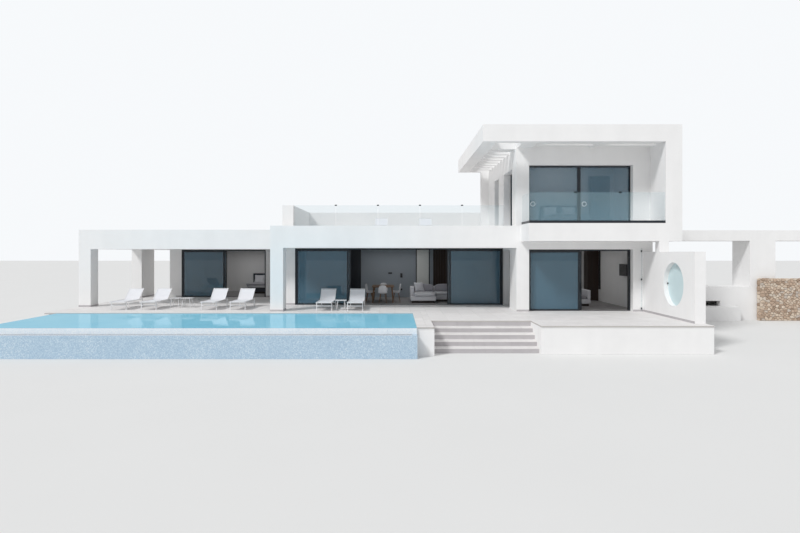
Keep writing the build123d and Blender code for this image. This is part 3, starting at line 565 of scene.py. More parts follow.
def looseParts(shape):
    waiting = set(shape.verts)
    parts = []
    while waiting:
        front = [waiting.pop()]
        part = list(front)
        while front:
            near = [edge.other_vert(vert) for vert in front for edge in vert.link_edges]
            front = [vert for vert in set(near) if vert in waiting]
            waiting.difference_update(front)
            part.extend(front)
        parts.append(part)
    return parts


def setTones(shape, seed):
    draw = random.Random(seed)
    layer = shape.verts.layers.float.new("tone")
    shape.verts.index_update()
    for part in sorted(looseParts(shape), key=lambda part: min(vert.index for vert in part)):
        tone = draw.random()
        for vert in part:
            vert[layer] = tone


def corners(verts):
    low = Vector(min(vert.co[axis] for vert in verts) for axis in range(3))
    high = Vector(max(vert.co[axis] for vert in verts) for axis in range(3))
    return low, high


def welded(node):
    shape = bmesh.new()
    shape.from_mesh(nodes[node].data)
    bmesh.ops.remove_doubles(shape, verts=shape.verts, dist=1e-5)
    return shape


def solidBoxes(node):
    shape = welded(node)
    boxes = sorted((corners(part) for part in looseParts(shape)), key=lambda box: tuple(box[0]))
    shape.free()
    return boxes


def block(shape, low, high, arris=0.0):
    made = bmesh.ops.create_cube(shape, size=1)["verts"]
    for vert in made:
        vert.co = Vector(low[axis] if vert.co[axis] < 0 else high[axis] for axis in range(3))
    if arris:
        edges = dict.fromkeys(edge for vert in made for edge in vert.link_edges)
        bmesh.ops.bevel(shape, geom=list(edges), offset=arris, segments=2, profile=0.5,
                        affect="EDGES")


def rod(shape, start, end, radius, endRadius=None, sides=10):
    axis = Vector(end) - Vector(start)
    turn = axis.to_track_quat("Z", "Y").to_matrix().to_4x4()
    middle = Matrix.Translation((Vector(start) + Vector(end)) / 2)
    bmesh.ops.create_cone(shape, cap_ends=True, segments=sides, radius1=radius,
                          radius2=endRadius or radius, depth=axis.length, matrix=middle @ turn)


def quads(shape, rows, closed=False):
    if closed:
        rows = [row + row[:1] for row in rows]
    for lower, upper in zip(rows, rows[1:]):
        for index in range(len(lower) - 1):
            shape.faces.new((lower[index], lower[index + 1], upper[index + 1], upper[index]))


# Slabs cut from a node's own top faces on a grid, each with a fine arris and an open joint

slabSettings = {
    "pitch": 0.6,
    "treadPitch": 0.84,
    "joint": 0.005,
    "arris": 0.002,
    "depth": 0.045,
    "treadDepth": 0.05,
    "sliver": 0.001,            # square metres
    "bedDrop": 0.007,
    "thin": 0.006,
    "thinOrigin": (0.1, 0.0),
    "riserDepth": 0.012,
    "riserGap": 0.001,
}


def topFaces(node):
    shape = welded(node)
    hidden = [face for face in shape.faces if face.normal.z < 0.9]
    bmesh.ops.delete(shape, geom=hidden, context="FACES")
    return shape


def gridLines(low, high, origin, pitch):
    first = math.floor((low - origin) / pitch) + 1
    last = math.ceil((high - origin) / pitch)
    return [origin + index * pitch for index in range(first, last)]


def isStraight(vert):
    if len(vert.link_edges) != 2:
        return False
    first, second = (edge.other_vert(vert).co - vert.co for edge in vert.link_edges)
    return first.angle(second, 0.0) > math.radians(179)


def slabsFrom(source, pitches, depth, origin=(0.0, 0.0)):
    s = slabSettings
    low, high = corners(source.verts)
    lines = {}
    for axis, pitch in enumerate(pitches):
        lines[axis] = gridLines(low[axis], high[axis], origin[axis], pitch) if pitch else []
        for place in lines[axis]:
            point = Vector(place if index == axis else 0 for index in range(3))
            normal = Vector(1 if index == axis else 0 for index in range(3))
            everything = source.verts[:] + source.edges[:] + source.faces[:]
            bmesh.ops.bisect_plane(source, geom=everything, plane_co=point, plane_no=normal)

    cells = {}
    for face in source.faces:
        middle = face.calc_center_median()
        cell = (sum(place < middle[axis] for place in places) for axis, places in lines.items())
        cells.setdefault((round(middle.z, 2), *cell), []).append(face)
    for group in cells.values():
        if len(group) > 1:
            bmesh.ops.dissolve_faces(source, faces=group)
    bmesh.ops.split_edges(source, edges=source.edges[:])
    straight = [vert for vert in source.verts if isStraight(vert)]
    bmesh.ops.dissolve_verts(source, verts=straight)
    slivers = [face for face in source.faces if face.calc_area() < s["sliver"]]
    bmesh.ops.delete(source, geom=slivers, context="FACES")
    ring = bmesh.ops.inset_individual(source, faces=source.faces[:], thickness=s["joint"] / 2,
                                      use_even_offset=True)["faces"]
    bmesh.ops.delete(source, geom=ring, context="FACES")
    bmesh.ops.translate(source, verts=source.verts, vec=(0, 0, -s["arris"]))
    bmesh.ops.inset_individual(source, faces=source.faces[:], thickness=s["arris"],
                               depth=s["arris"], use_even_offset=True)
    rim = [edge for edge in source.edges if edge.is_boundary]
    grown = bmesh.ops.extrude_edge_only(source, edges=rim)["geom"]
    sunk = [item for item in grown if isinstance(item, bmesh.types.BMVert)]
    bmesh.ops.translate(source, verts=sunk, vec=(0, 0, s["arris"] - depth))


def slabPiece(name, node, pitches, depth, material=pavingStone):
    shape = topFaces(node)
    slabsFrom(shape, pitches, depth)
    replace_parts(addPiece(name, shape, material, toned=True), node)


def bedPiece(name, node):
    shape = bmesh.new()
    shape.from_mesh(nodes[node].data)
    top = max(vert.co.z for vert in shape.verts)
    for vert in shape.verts:
        if vert.co.z > top - 0.01:
            vert.co.z -= slabSettings["bedDrop"]
    addPiece(name, shape, mortar)


def layPaving():
    s = slabSettings
    square = (s["pitch"], s["pitch"])
    for name, node, material in (("terraceSlabs", "deck_paving", pavingStone),
                                 ("floorSlabs", "interior_floors", indoorStone),
                                 ("copingSlabs", "pool_coping", pavingStone)):
        slabPiece(name, node, square, s["depth"], material)
        bedPiece(name + "Bed", node)
    slabPiece("treadSlabs", "step_treads", (s["treadPitch"], None), s["treadDepth"])


def layThinPaving():
    s = slabSettings
    shape = bmesh.new()
    for node, level in (("main_roof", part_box("balustrade_shoes")[0].z),
                        ("upper_floor_slab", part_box("upper_floor_slab")[1].z)):
        source = topFaces(node)
        other = [face for face in source.faces
                 if abs(face.calc_center_median().z - level) > 0.01]
        bmesh.ops.delete(source, geom=other, context="FACES")
        bmesh.ops.translate(source, verts=source.verts, vec=(0, 0, s["thin"]))
        slabsFrom(source, (s["pitch"], s["pitch"]), s["thin"], s["thinOrigin"])
        passing = bpy.data.meshes.new("passing")
        source.to_mesh(passing)
        source.free()
        shape.from_mesh(passing)
        bpy.data.meshes.remove(passing)
    addPiece("roofSlabs", shape, pavingStone, toned=True)


layPaving()
layThinPaving()
print("paving laid")

# A rendered return at the rear corner, stone skirtings at the walls' feet and riser slabs

returnSettings = {
    "length": 0.3,
    "proud": 0.003,
}
skirtSettings = {
    "height": 0.07,
    "thickness": 0.010,
    "length": 1.2,
    "gap": 0.003,
}


def closeCorner():
    s = returnSettings
    party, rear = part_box("guest_left_wall"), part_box("living_rear_wall")
    shape = bmesh.new()
    for foot, head in ((party[0].z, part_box("main_roof")[0].z),
                       (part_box("balustrade_shoes")[0].z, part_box("roof_parapet")[1].z)):
        block(shape, (party[0].x - s["length"], party[1].y, foot),
              (party[0].x + s["proud"], rear[0].y, head))
    addPiece("cornerReturn", shape, whiteRender)


def strip(shape, start, end, foot, height, thickness, length):
    run = Vector((end[0] - start[0], end[1] - start[1], 0))
    along = run.normalized()
    outward = Vector((along.y, -along.x, 0))
    count = max(1, round(run.length / length))
    step = run.length / count
    for index in range(count):
        for vert in bmesh.ops.create_cube(shape, size=1)["verts"]:
            x, y, z = vert.co
            reach = along * (step * (index + 0.5) + x * (step - skirtSettings["gap"]))
            vert.co = Vector((*start, foot)) + reach + outward * (y + 0.5) * thickness \
                + Vector((0, 0, (z + 0.5) * height))


def fitSkirtings():
    s = skirtSettings
    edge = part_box("deck_paving")[0].x + s["thickness"]      # no strip hangs over the deck's end
    runs = []
    for low, high in solidBoxes("portico_pillars"):
        ring = ((low.x, low.y), (high.x, low.y), (high.x, high.y), (low.x, high.y))
        runs += [(start, end) for start, end in zip(ring, ring[1:] + ring[:1])
                 if min(start[0], end[0]) > edge or start[0] != end[0]]
    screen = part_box("round_window_wall")[0]
    runs.append(((screen.x, 0.0), (screen.x, screen.y)))
    runs += [((low.x, low.y), (high.x, low.y)) for low, high in (
        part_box("guest_left_wall"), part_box("living_left_wall"),
        *solidBoxes("bedroom_front_walls"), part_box("guest_front_pier"))]
    shape = bmesh.new()
    for start, end in runs:
        strip(shape, start, end, deckLevel, s["height"], s["thickness"], s["length"])
    addPiece("skirtings", shape, shadeDarkStone, toned=True)


def fitRisers():
    s = slabSettings
    low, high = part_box("terrace_steps")
    treads = solidBoxes("step_treads")
    front, back = (choose(box[0].y for box in treads) for choose in (min, max))
    thickness = treads[0][1].z - treads[0][0].z
    going = (back - front) / (len(treads) - 1)
    shape = bmesh.new()
    below = low.z
    for index, top in enumerate(sorted(box[1].z for box in treads) + [deckLevel]):
        face = low.y + index * going
        strip(shape, (low.x, face), (high.x, face), below, top - thickness - below - s["riserGap"],
              s["riserDepth"], s["treadPitch"])
        below = top
    addPiece("riserSlabs", shape, shadeDarkStone, toned=True)


closeCorner()
fitSkirtings()
fitRisers()
print("walls and steps dressed")

# Pool: water level with the weir, pale mosaic on the weir and a grating over the gutter

poolSettings = {
    "copingLap": 0.3,
    "film": 0.002,
    "cell": 0.12,
    "swell": 0.0012,
    "swellScale": 1.4,
    "cladding": 0.012,
    "claddingDrop": 0.19,
    "claddingGap": 0.001,
    "claddingLength": 0.9,
    "gutterWall": 0.15,
    "clearance": 0.014,         # of the bars from the weir
    "bar": 0.008,
    "barPitch": 0.018,
    "barHeight": 0.02,
    "bearer": 0.006,
    "bearerDepth": (0.014, 0.006),
    "bearerPlaces": (0.25, 0.75),
    "gratingDrop": 0.012,
}

basinLow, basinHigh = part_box("pool_basin")
gutterLow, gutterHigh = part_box("pool_gutter")
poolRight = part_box("pool_coping")[1].x - poolSettings["copingLap"]


def fillPool():
    s = poolSettings
    width, depth = poolRight - basinLow.x, gutterHigh.y - basinLow.y
    columns, rows = round(width / s["cell"]), round(depth / s["cell"])
    shape = bmesh.new()
    grid = []
    for row in range(rows + 1):
        y = basinLow.y + depth * row / rows
        line = []
        for column in range(columns + 1):
            x = basinLow.x + width * column / columns
            wave = noise.noise(Vector((x * s["swellScale"], y * s["swellScale"], 3.0)))
            line.append(shape.verts.new((x, y, basinHigh.z + s["film"] + wave * s["swell"])))
        grid.append(line)
    quads(shape, grid)
    addPiece("poolWater", shape, water, smooth=True)


def cladWeir():
    s = poolSettings
    shape = bmesh.new()
    front, left = (basinLow.x, basinLow.y), (basinLow.x, gutterHigh.y)
    for start, end in ((front, (poolRight, basinLow.y)), (left, front)):
        strip(shape, start, end, basinHigh.z - s["claddingDrop"],
              s["claddingDrop"] - s["claddingGap"], s["cladding"], s["claddingLength"])
    addPiece("weirCladding", shape, weirMosaic, toned=True)


def coverGutter():
    s = poolSettings
    left, front = gutterLow.x + s["gutterWall"], gutterLow.y + s["gutterWall"]
    right, back = poolRight - s["gutterWall"], gutterHigh.y - s["gutterWall"]
    top = gutterHigh.z - s["gratingDrop"]
    foot = top - s["barHeight"]
    shape = bmesh.new()
    x = left
    while x < right:
        block(shape, (x, front, foot), (x + s["bar"], basinLow.y - s["clearance"], top))
        x += s["barPitch"]
    y = basinLow.y
    while y < back:
        block(shape, (left, y, foot), (basinLow.x - s["clearance"], y + s["bar"], top))
        y += s["barPitch"]
    low, high = (top - drop for drop in s["bearerDepth"])
    for share in s["bearerPlaces"]:
        y = front + share * (basinLow.y - front)
        block(shape, (left, y, low), (right, y + s["bearer"], high))
        x = left + share * (basinLow.x - left)
        block(shape, (x, basinLow.y, low), (x + s["bearer"], back, high))
    addPiece("gutterGrating", shape, palePlastic)


fillPool()
cladWeir()
coverGutter()
print("pool filled")

# Flat roofs: pebbles in the wells behind their edges

roofSettings = {
    "ballast": 0.06,
    "unevenness": 0.25,
    "edge": 0.02,
    "cell": 0.25,
}


def layBallast():
    s = roofSettings
    shape = bmesh.new()
    for node in ("left_wing_roof", "canopy_frame"):
        source = topFaces(node)
        top = max(vert.co.z for vert in source.verts)
        sunk = [face for face in source.faces if face.calc_center_median().z < top - 0.05]
        low, high = corners([vert for face in sunk for vert in face.verts])
        source.free()
        columns, rows = (round((high[axis] - low[axis]) / s["cell"]) for axis in (0, 1))
        made = bmesh.ops.create_grid(shape, x_segments=columns, y_segments=rows, size=0.5)["verts"]
        for vert in made:
            x, y = (low[axis] + s["edge"] + (vert.co[axis] + 0.5)
                    * (high[axis] - low[axis] - 2 * s["edge"]) for axis in (0, 1))
            heap = 1 + s["unevenness"] * noise.noise(Vector((x, y, 0)) * 2)
            vert.co = (x, y, low.z + s["ballast"] * heap)
        rim = dict.fromkeys(edge for vert in made for edge in vert.link_edges if edge.is_boundary)
        for item in bmesh.ops.extrude_edge_only(shape, edges=list(rim))["geom"]:
            if isinstance(item, bmesh.types.BMVert):
                item.co.z = low.z
    addPiece("roofBallast", shape, pebbles, smooth=True)


layBallast()
print("roofs laid")

# Rubble wall: a mortar core with field stones of many sizes standing a little proud of it

rubbleSettings = {
    "proud": 0.045,
    "pitch": (0.15, 0.095),     # mean breadth and height of a stone
    "jitter": 0.42,
    "stagger": 0.25,
    "missing": 0.12,
    "joint": 0.010,
    "round": 0.24,
    "rings": ((0.985, 0.5), (0.86, 0.9), (0.45, 1.0)),      # share of the breadth and of the bulge
    "root": 0.012,
    "bulge": (0.55, 1.0),
}


def clipped(outline, point, normal):
    kept = []
    for first, second in zip(outline, outline[1:] + outline[:1]):
        a = (first - point).dot(normal)
        b = (second - point).dot(normal)
        if a <= 0:
            kept.append(first)
        if a * b < 0:
            kept.append(first + (second - first) * (a / (a - b)))
    return kept


def stoneOutlines(length, height, draw):
    s = rubbleSettings
    across, upward = s["pitch"]
    columns, rows = max(1, round(length / across)), max(1, round(height / upward))
    seeds = []
    for row in range(rows):
        shift = s["stagger"] if row % 2 else -s["stagger"]
        for column in range(columns):
            x = (column + 0.5 + shift + draw.uniform(-1, 1) * s["jitter"]) * length / columns
            y = (row + 0.5 + draw.uniform(-1, 1) * s["jitter"]) * height / rows
            if 0 < x < length and draw.random() > s["missing"]:
                seeds.append(Vector((x, y)))
    face = [Vector((0, 0)), Vector((length, 0)), Vector((length, height)), Vector((0, height))]
    for seed in seeds:
        outline = face
        for other in seeds:
            if other is seed or (other - seed).length > 4 * across:
                continue
            toward = other - seed
            toward.x *= upward / across
            outline = clipped(outline, (seed + other) / 2, toward)
        yield seed, outline


def roundedRim(outline, middle):
    s = rubbleSettings
    rim = []
    for corner, before, after in zip(outline, outline[-1:] + outline, outline[1:] + outline[:1]):
        start, end = corner.lerp(before, s["round"]), corner.lerp(after, s["round"])
        rim += [start, (corner * 2 + start + end) / 4, end]
    for index, point in enumerate(rim):
        toward = middle - point
        if toward.length > s["joint"] * 2:
            rim[index] = point + toward.normalized() * s["joint"]
    return rim


def layStone(shape, start, axes, rim, middle, bulge, draw):
    s = rubbleSettings
    across, upward, outward = axes
    rings = []
    for share, rise in ((1.0, -s["root"]), *((share, bulge * part) for share, part in s["rings"])):
        ring = []
        for point in rim:
            u, v = middle + (point - middle) * share
            height = rise * (draw.uniform(0.9, 1.0) if rise > 0 else 1.0)
            ring.append(shape.verts.new(start + across * u + upward * v + outward * height))
        rings.append(ring)
    quads(shape, rings, closed=True)
    shape.faces.new(rings[-1])


def buildRubbleWall():
    s = rubbleSettings
    low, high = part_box("rubble_wall")
    draw = random.Random(7)
    inset = Vector((s["proud"], s["proud"], 0))
    low, high = low + inset, high - inset - Vector((0, 0, s["proud"]))
    span = [high[axis] - low[axis] for axis in range(3)]
    stones = bmesh.new()
    for start, across, upward in (
            (low, (1, 0, 0), (0, 0, 1)), ((high.x, high.y, low.z), (-1, 0, 0), (0, 0, 1)),
            ((low.x, high.y, low.z), (0, -1, 0), (0, 0, 1)),
            ((high.x, low.y, low.z), (0, 1, 0), (0, 0, 1)),
            ((low.x, low.y, high.z), (1, 0, 0), (0, 1, 0))):
        length, height = (abs(sum(part * size for part, size in zip(axis, span)))
                          for axis in (across, upward))
        across, upward = Vector(across), Vector(upward)
        axes = (across, upward, across.cross(upward))
        for middle, outline in stoneOutlines(length, height, draw):
            if len(outline) > 2:
                bulge = draw.uniform(*s["bulge"]) * s["proud"]
                layStone(stones, Vector(start), axes, roundedRim(outline, middle), middle, bulge, draw)
    core = bmesh.new()
    block(core, low, high, s["joint"])
    wall = addPiece("rubbleStones", stones, rubbleStone, toned=True)
    addPiece("rubbleCore", core, earthMortar)
    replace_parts(wall, "rubble_wall")


buildRubbleWall()
print("rubble wall built")

# Slings of the loungers: one sheet each, stretched between the rails and sagging a little

slingSettings = {
    "sag": 0.012,
    "across": 8,
    "along": 26,
    "seatRun": 1.33,
    "seatRise": 0.008,
    "hold": 3,                  # rows from each end over which the sag begins
}


def stretchSlings():
    s = slingSettings
    for index, (low, high) in enumerate(solidBoxes("lounger_slings")):
        width = high.x - low.x
        bend, seat = low.y + s["seatRun"], low.z + s["seatRise"]
        back = math.hypot(high.y - bend, high.z - seat)
        shape = bmesh.new()
        grid = []
        for step in range(s["along"] + 1):
            run = (s["seatRun"] + back) * step / s["along"]
            if run <= s["seatRun"]:
                y, z = low.y + run, seat
            else:
                share = (run - s["seatRun"]) / back
                y, z = bend + (high.y - bend) * share, seat + (high.z - seat) * share
            held = min(1, step / s["hold"], (s["along"] - step) / s["hold"])
            shares = [place / s["across"] for place in range(s["across"] + 1)]
            grid.append([shape.verts.new((low.x + width * u, y, z - s["sag"] * 4 * u * (1 - u) * held))
                         for u in shares])
        quads(shape, grid)
        sling = addPiece(f"sling{index + 1}", shape, slingCloth, smooth=True)
        if index == 0:
            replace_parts(sling, "lounger_slings")


stretchSlings()
print("slings stretched")

# Side tables, the oak dining table and moulded shell chairs on splayed legs

tableSettings = {
    "sideHeight": 0.5,          # lower than this is a side table
    "diningArea": 1.0,          # a larger top than this is the dining table
    "splay": 0.05,
    "sideTop": 0.016,
    "sideLeg": (0.009, 0.011),
    "diningTop": 0.04,
    "diningLeg": (0.022, 0.038),
    "planks": 5,
    "plankGap": 0.0006,
    "shell": 0.008,
    "rows": 14,
    "columns": 10,
    "profile": ((0.21, 0.425), (0.16, 0.440), (0.06, 0.425), (-0.05, 0.420), (-0.13, 0.445),
                (-0.17, 0.52), (-0.19, 0.62), (-0.205, 0.73), (-0.215, 0.815)),
    "halfWidth": 0.215,
    "legs": (0.010, 0.016),
}


def shellPoint(u, v, upright):
    # u runs across from -1 to 1, v from the front of the seat up to the top of the back
    profile = tableSettings["profile"]
    place = v * (len(profile) - 1)
    index = min(int(place), len(profile) - 2)
    share = place - index
    forward, height = (first * (1 - share) + second * share
                       for first, second in zip(profile[index], profile[index + 1]))
    half = tableSettings["halfWidth"] * (1 - 0.10 * v) \
        * (1 - 0.30 * max(0.0, v - 0.8) / 0.2 * abs(u)) * (1 - 0.12 * max(0.0, 0.15 - v) / 0.15)
    curl = u * u
    lift = 0.045 * curl * (1 - upright) * (1 - 0.4 * v) - 0.03 * curl * max(0, v - 0.8) * 5
    return Vector((forward + 0.055 * curl * upright, u * half, height + lift))


def chairShell(shape, place):
    s = tableSettings
    layers = []
    for lift in (0.0, s["shell"]):
        grid = []
        for row in range(s["rows"] + 1):
            v = row / s["rows"]
            upright = max(0.0, min(1.0, (v - 0.45) / 0.25))
            push = Vector((upright, 0, 1 - upright)).normalized() * lift
            across = (2 * column / s["columns"] - 1 for column in range(s["columns"] + 1))
            grid.append([shape.verts.new(place @ (shellPoint(u, v, upright) + push)) for u in across])
        quads(shape, grid)
        layers.append([line[0] for line in grid] + grid[-1][1:]
                      + [line[-1] for line in reversed(grid[:-1])] + grid[0][-2:0:-1])
    quads(shape, layers, closed=True)


def splayedLegs(shape, low, high, inset, foot, head, radii, sides=10):
    splay = tableSettings["splay"]
    for x, leanX in ((low.x + inset, splay), (high.x - inset, -splay)):
        for y, leanY in ((low.y + inset, splay), (high.y - inset, -splay)):
            rod(shape, (x, y, foot), (x + leanX, y + leanY, head), *radii, sides)


def furnishTables():
    s = tableSettings
    boxes = solidBoxes("tables_and_chairs")
    side = [box for box in boxes if box[1].z - box[0].z < s["sideHeight"]]
    dining = [box for box in boxes
              if (box[1].x - box[0].x) * (box[1].y - box[0].y) > s["diningArea"]]
    chairs = [box for box in boxes if box not in side and box not in dining]

    shape = bmesh.new()
    for low, high in side:
        block(shape, (low.x, low.y, high.z - s["sideTop"]), high, 0.004)
        splayedLegs(shape, low, high, 0.03, low.z, high.z - s["sideTop"] + 0.002, s["sideLeg"])
    tables = addPiece("sideTables", shape, paleMetal)

    shape = bmesh.new()
    low, high = dining[0]
    pitch = (high.x - low.x) / s["planks"]
    under = high.z - s["diningTop"]
    for index in range(s["planks"]):
        left, right = low.x + index * pitch, low.x + (index + 1) * pitch
        block(shape, (left + s["plankGap"], low.y, under), (right - s["plankGap"], high.y, high.z), 0.002)
    splayedLegs(shape, low, high, 0.04, deckLevel, under, s["diningLeg"], 12)
    addPiece("diningTable", shape, oak, toned=True)

    shells, legs = bmesh.new(), bmesh.new()
    tableMiddle = (low + high) / 2
    for low, high in chairs:
        middle = (low + high) / 2
        toTable = tableMiddle - middle
        if abs(toTable.x) > abs(toTable.y) * 0.8:
            angle = 0.0 if toTable.x > 0 else math.pi
        else:
            angle = math.pi / 2 if toTable.y > 0 else -math.pi / 2
        turned = Matrix.Rotation(angle, 4, "Z")
        place = Matrix.Translation((middle.x, middle.y, deckLevel)) @ turned
        chairShell(shells, place)
        for x, y in ((-1, -1), (-1, 1), (1, -1), (1, 1)):
            rod(legs, place @ Vector((0.17 * x, 0.17 * y, 0.0)),
                place @ Vector((0.09 * x, 0.10 * y, 0.415)), *s["legs"])
    addPiece("chairShells", shells, palePlastic, smooth=True)
    addPiece("chairLegs", legs, oak, toned=True)
    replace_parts(tables, "tables_and_chairs")


furnishTables()
print("tables and chairs made")


# Soft pieces: closed crowned cushions whose sides pull in between the corners, and pillows

def softPiece(name, shapePoint, material, fill):
    shape = bmesh.new()
    bmesh.ops.create_cube(shape, size=2)
    bmesh.ops.subdivide_edges(shape, edges=shape.edges[:], cuts=7, use_grid_fill=True)
    for vert in shape.verts:
        vert.co = shapePoint(*vert.co)
    piece = addPiece(name, shape, material, smooth=True)
    rounding = piece.modifiers.new("soft", "SUBSURF")
    rounding.levels = rounding.render_levels = 1


def cushion(name, low, high, material, fill, crown, pull, tilt=0.0):
    half = (Vector(high) - Vector(low)) / 2
    middle = (Vector(high) + Vector(low)) / 2
    lean = Matrix.Rotation(tilt, 3, "X")

    def point(a, b, c):
        edge = max(abs(a), abs(b))
        thick = (1 - crown) + crown * (1 - abs(a) ** 2.5) * (1 - abs(b) ** 2.5)
        if edge > 0.999:
            thick *= 0.86
        side = 1 - pull * (1 - b * b) * abs(a) ** 3
        fore = 1 - pull * (1 - a * a) * abs(b) ** 3
        rounding = 1 - 0.04 * (abs(a * b) ** 4) - 0.02 * abs(c) ** 4 * edge ** 6
        return middle + lean @ Vector((a * half.x * side * rounding, b * half.y * fore * rounding,
                                       c * half.z * thick))
    softPiece(name, point, material, fill)


def pillow(name, place, size, thick, tilt, turn):
    half = size / 2
    where = Matrix.Translation(place) @ Matrix.Rotation(turn, 4, "Z") \
        @ Matrix.Rotation(math.radians(tilt), 4, "X")

    def point(a, b, c):
        lens = max(0.0, (1 - a * a) * (1 - b * b)) ** 0.42
        pinch = 1 - 0.10 * (1 - b * b) * abs(a) ** 2
        other = 1 - 0.10 * (1 - a * a) * abs(b) ** 2
        crease = 1 + 0.06 * noise.noise(Vector((a * 2, b * 2, len(name))))
        return where @ Vector((a * half * pinch, b * half * other * 0.9,
                               c * thick / 2 * (0.06 + 0.94 * lens) * crease))
    softPiece(name, point, linen, 0.6)


def hardPiece(name, boxes, material, arris=0.006):
    shape = bmesh.new()
    for low, high in boxes:
        block(shape, low, high, arris)
    return addPiece(name, shape, material)


# Corner sofa and guest sofa: plinth, upholstered body, seat and back cushions and pillows

sofaSettings = {
    "tallest": 0.9,             # the beds are taller than this
    "plinth": 0.10,
    "inset": 0.06,
    "body": 0.20,
    "seat": 0.43,
    "arm": 0.16,
    "armFront": 0.5,
    "chaise": 1.14,
    "depth": 1.0,
    "play": 0.004,
    "crown": 0.02,
    "seatForm": (0.8, 0.15, 0.01),                          # fill, crown and pull
    "backForm": (0.6, 0.3, 0.03, math.radians(-8)),         # and tilt
    "backDepth": (0.24, 0.04),
    "backRise": (0.02, 0.12),
}


def makeSofas():
    s = sofaSettings
    arm = s["arm"]
    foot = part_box("interior_floors")[1].z
    sofas = [box for box in solidBoxes("sofa_and_beds") if box[1].z - box[0].z < s["tallest"]]
    low, high = min(sofas, key=lambda box: box[0].x)
    guestLow, guestHigh = max(sofas, key=lambda box: box[0].x)
    chaise, rear = low.x + s["chaise"], high.y - s["depth"]
    plinth, body, seat = foot + s["plinth"], foot + s["plinth"] + s["body"], foot + s["seat"]
    plinths = ((low.x, low.y, chaise, high.y), (chaise, rear, high.x, high.y),
               (guestLow.x, guestLow.y, guestHigh.x, guestHigh.y))
    i = s["inset"]
    base = hardPiece("sofaPlinths", [
        ((left + (i if index != 1 else -i), front + i, foot), (right - i, back - i, plinth))
        for index, (left, front, right, back) in enumerate(plinths)], stainedBoards)
    hardPiece("sofaBodies", (
        ((low.x, low.y, plinth), (chaise, high.y, body)),
        ((chaise, rear, plinth), (high.x, high.y, body)),
        ((low.x, low.y + s["armFront"], body), (low.x + arm, high.y, high.z)),
        ((low.x + arm, high.y - arm, body), (high.x, high.y, high.z)),
        ((guestLow.x, guestLow.y, plinth), (guestHigh.x, guestHigh.y, body)),
        ((guestLow.x, guestLow.y, body), (guestLow.x + arm, guestHigh.y, guestHigh.z)),
        ((guestHigh.x - arm, guestLow.y, body), guestHigh),
        ((guestLow.x + arm, guestHigh.y - arm, body), (guestHigh.x - arm, *guestHigh.yz)),
    ), linen, 0.03)

    def seatCushion(name, left, right, front, back, material=linen):
        cushion(name, (left + s["play"], front, body),
                (right - s["play"], back, seat + s["crown"]), material, *s["seatForm"])

    def backCushion(name, left, right, play):
        rearmost, foremost = (high.y - arm - depth for depth in s["backDepth"][::-1])
        cushion(name, (left + play, foremost, seat - s["backRise"][0]),
                (right - play, rearmost, high.z + s["backRise"][1]), greyLinen, *s["backForm"])

    seatCushion("chaiseCushion", low.x + arm, chaise, low.y, high.y - arm)
    width = (high.x - chaise) / 2
    for index in range(2):
        left = chaise + index * width
        seatCushion(f"seatCushion{index + 1}", left, left + width, rear, high.y - arm)
        backCushion(f"backCushion{index + 1}", left, left + width, 0.02)
    backCushion("chaiseBackCushion", low.x + arm, chaise, 0.03)
    pillow("sofaPillow1", (low.x + 0.42, high.y - 0.62, seat + 0.24), 0.5, 0.16, 68, 0.5)
    pillow("sofaPillow2", (high.x - 0.5, high.y - 0.56, seat + 0.22), 0.45, 0.15, 66, -0.3)
    run = (guestHigh.x - guestLow.x - 2 * arm) / 2
    for index in range(2):
        left = guestLow.x + arm + index * run
        seatCushion(f"guestSeat{index + 1}", left, left + run, guestLow.y, guestHigh.y - arm, greyLinen)
    return base


# Beds: plinth, base, mattress, a folded-back quilt, pillows and a padded headboard

bedSettings = {
    "plinth": 0.10,
    "plinthInset": 0.08,
    "base": 0.20,
    "mattress": 0.22,
    "mattressInset": 0.02,
    "headboard": 0.08,
    "quilt": 0.05,
    "quiltDrop": 0.10,
    "fold": 0.55,
    "pillow": (0.62, 0.2, 62, 0.0),         # size, thickness, tilt and turn
    "pillowPlace": (0.42, 0.22, 0.20),
}


def makeBeds():
    s = bedSettings
    inset, play = s["plinthInset"], s["mattressInset"]
    beds = [box for box in solidBoxes("sofa_and_beds")
            if box[1].z - box[0].z > sofaSettings["tallest"]]
    for number, (low, high) in enumerate(beds, 1):
        foot = high.y - s["headboard"]
        plinth = low.z + s["plinth"]
        base = plinth + s["base"]
        top = base + s["mattress"]
        hardPiece(f"bedPlinth{number}", (((low.x + inset, low.y + inset, low.z),
                                          (high.x - inset, foot, plinth)),), stainedBoards)
        hardPiece(f"bedBase{number}", (((low.x, low.y, plinth), (high.x, foot, base)),),
                  charcoalCloth, 0.02)
        hardPiece(f"headboard{number}", (((low.x, foot, plinth), high),), charcoalCloth, 0.02)
        cushion(f"mattress{number}", (low.x + play, low.y + play, base),
                (high.x - play, foot - 0.005, top), linen, 0.95, 0.06, 0.004)
        cushion(f"quilt{number}", (low.x + 0.005, low.y + 0.005, top - s["quiltDrop"]),
                (high.x - 0.005, foot - s["fold"], top + s["quilt"]), greyLinen, 0.5, 0.10, 0.004)
        middle = (low.x + high.x) / 2
        aside, forward, rise = s["pillowPlace"]
        for name, x in (("left", middle - aside), ("right", middle + aside)):
            pillow(f"{name}Pillow{number}", (x, foot - forward, top + rise), *s["pillow"])


sofas = makeSofas()
makeBeds()
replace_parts(sofas, "sofa_and_beds")
print("sofas and beds made")

# Panels: dark lacquer, an etched glass door in a dark frame, and upright stained boards

panelSettings = {
    "board": 0.127,
    "groove": 0.004,
    "frame": 0.05,
    "glassInset": 0.012,
    "thick": 0.1,               # the wardrobe is deeper than this, the panels are not
    "arris": 0.003,
}


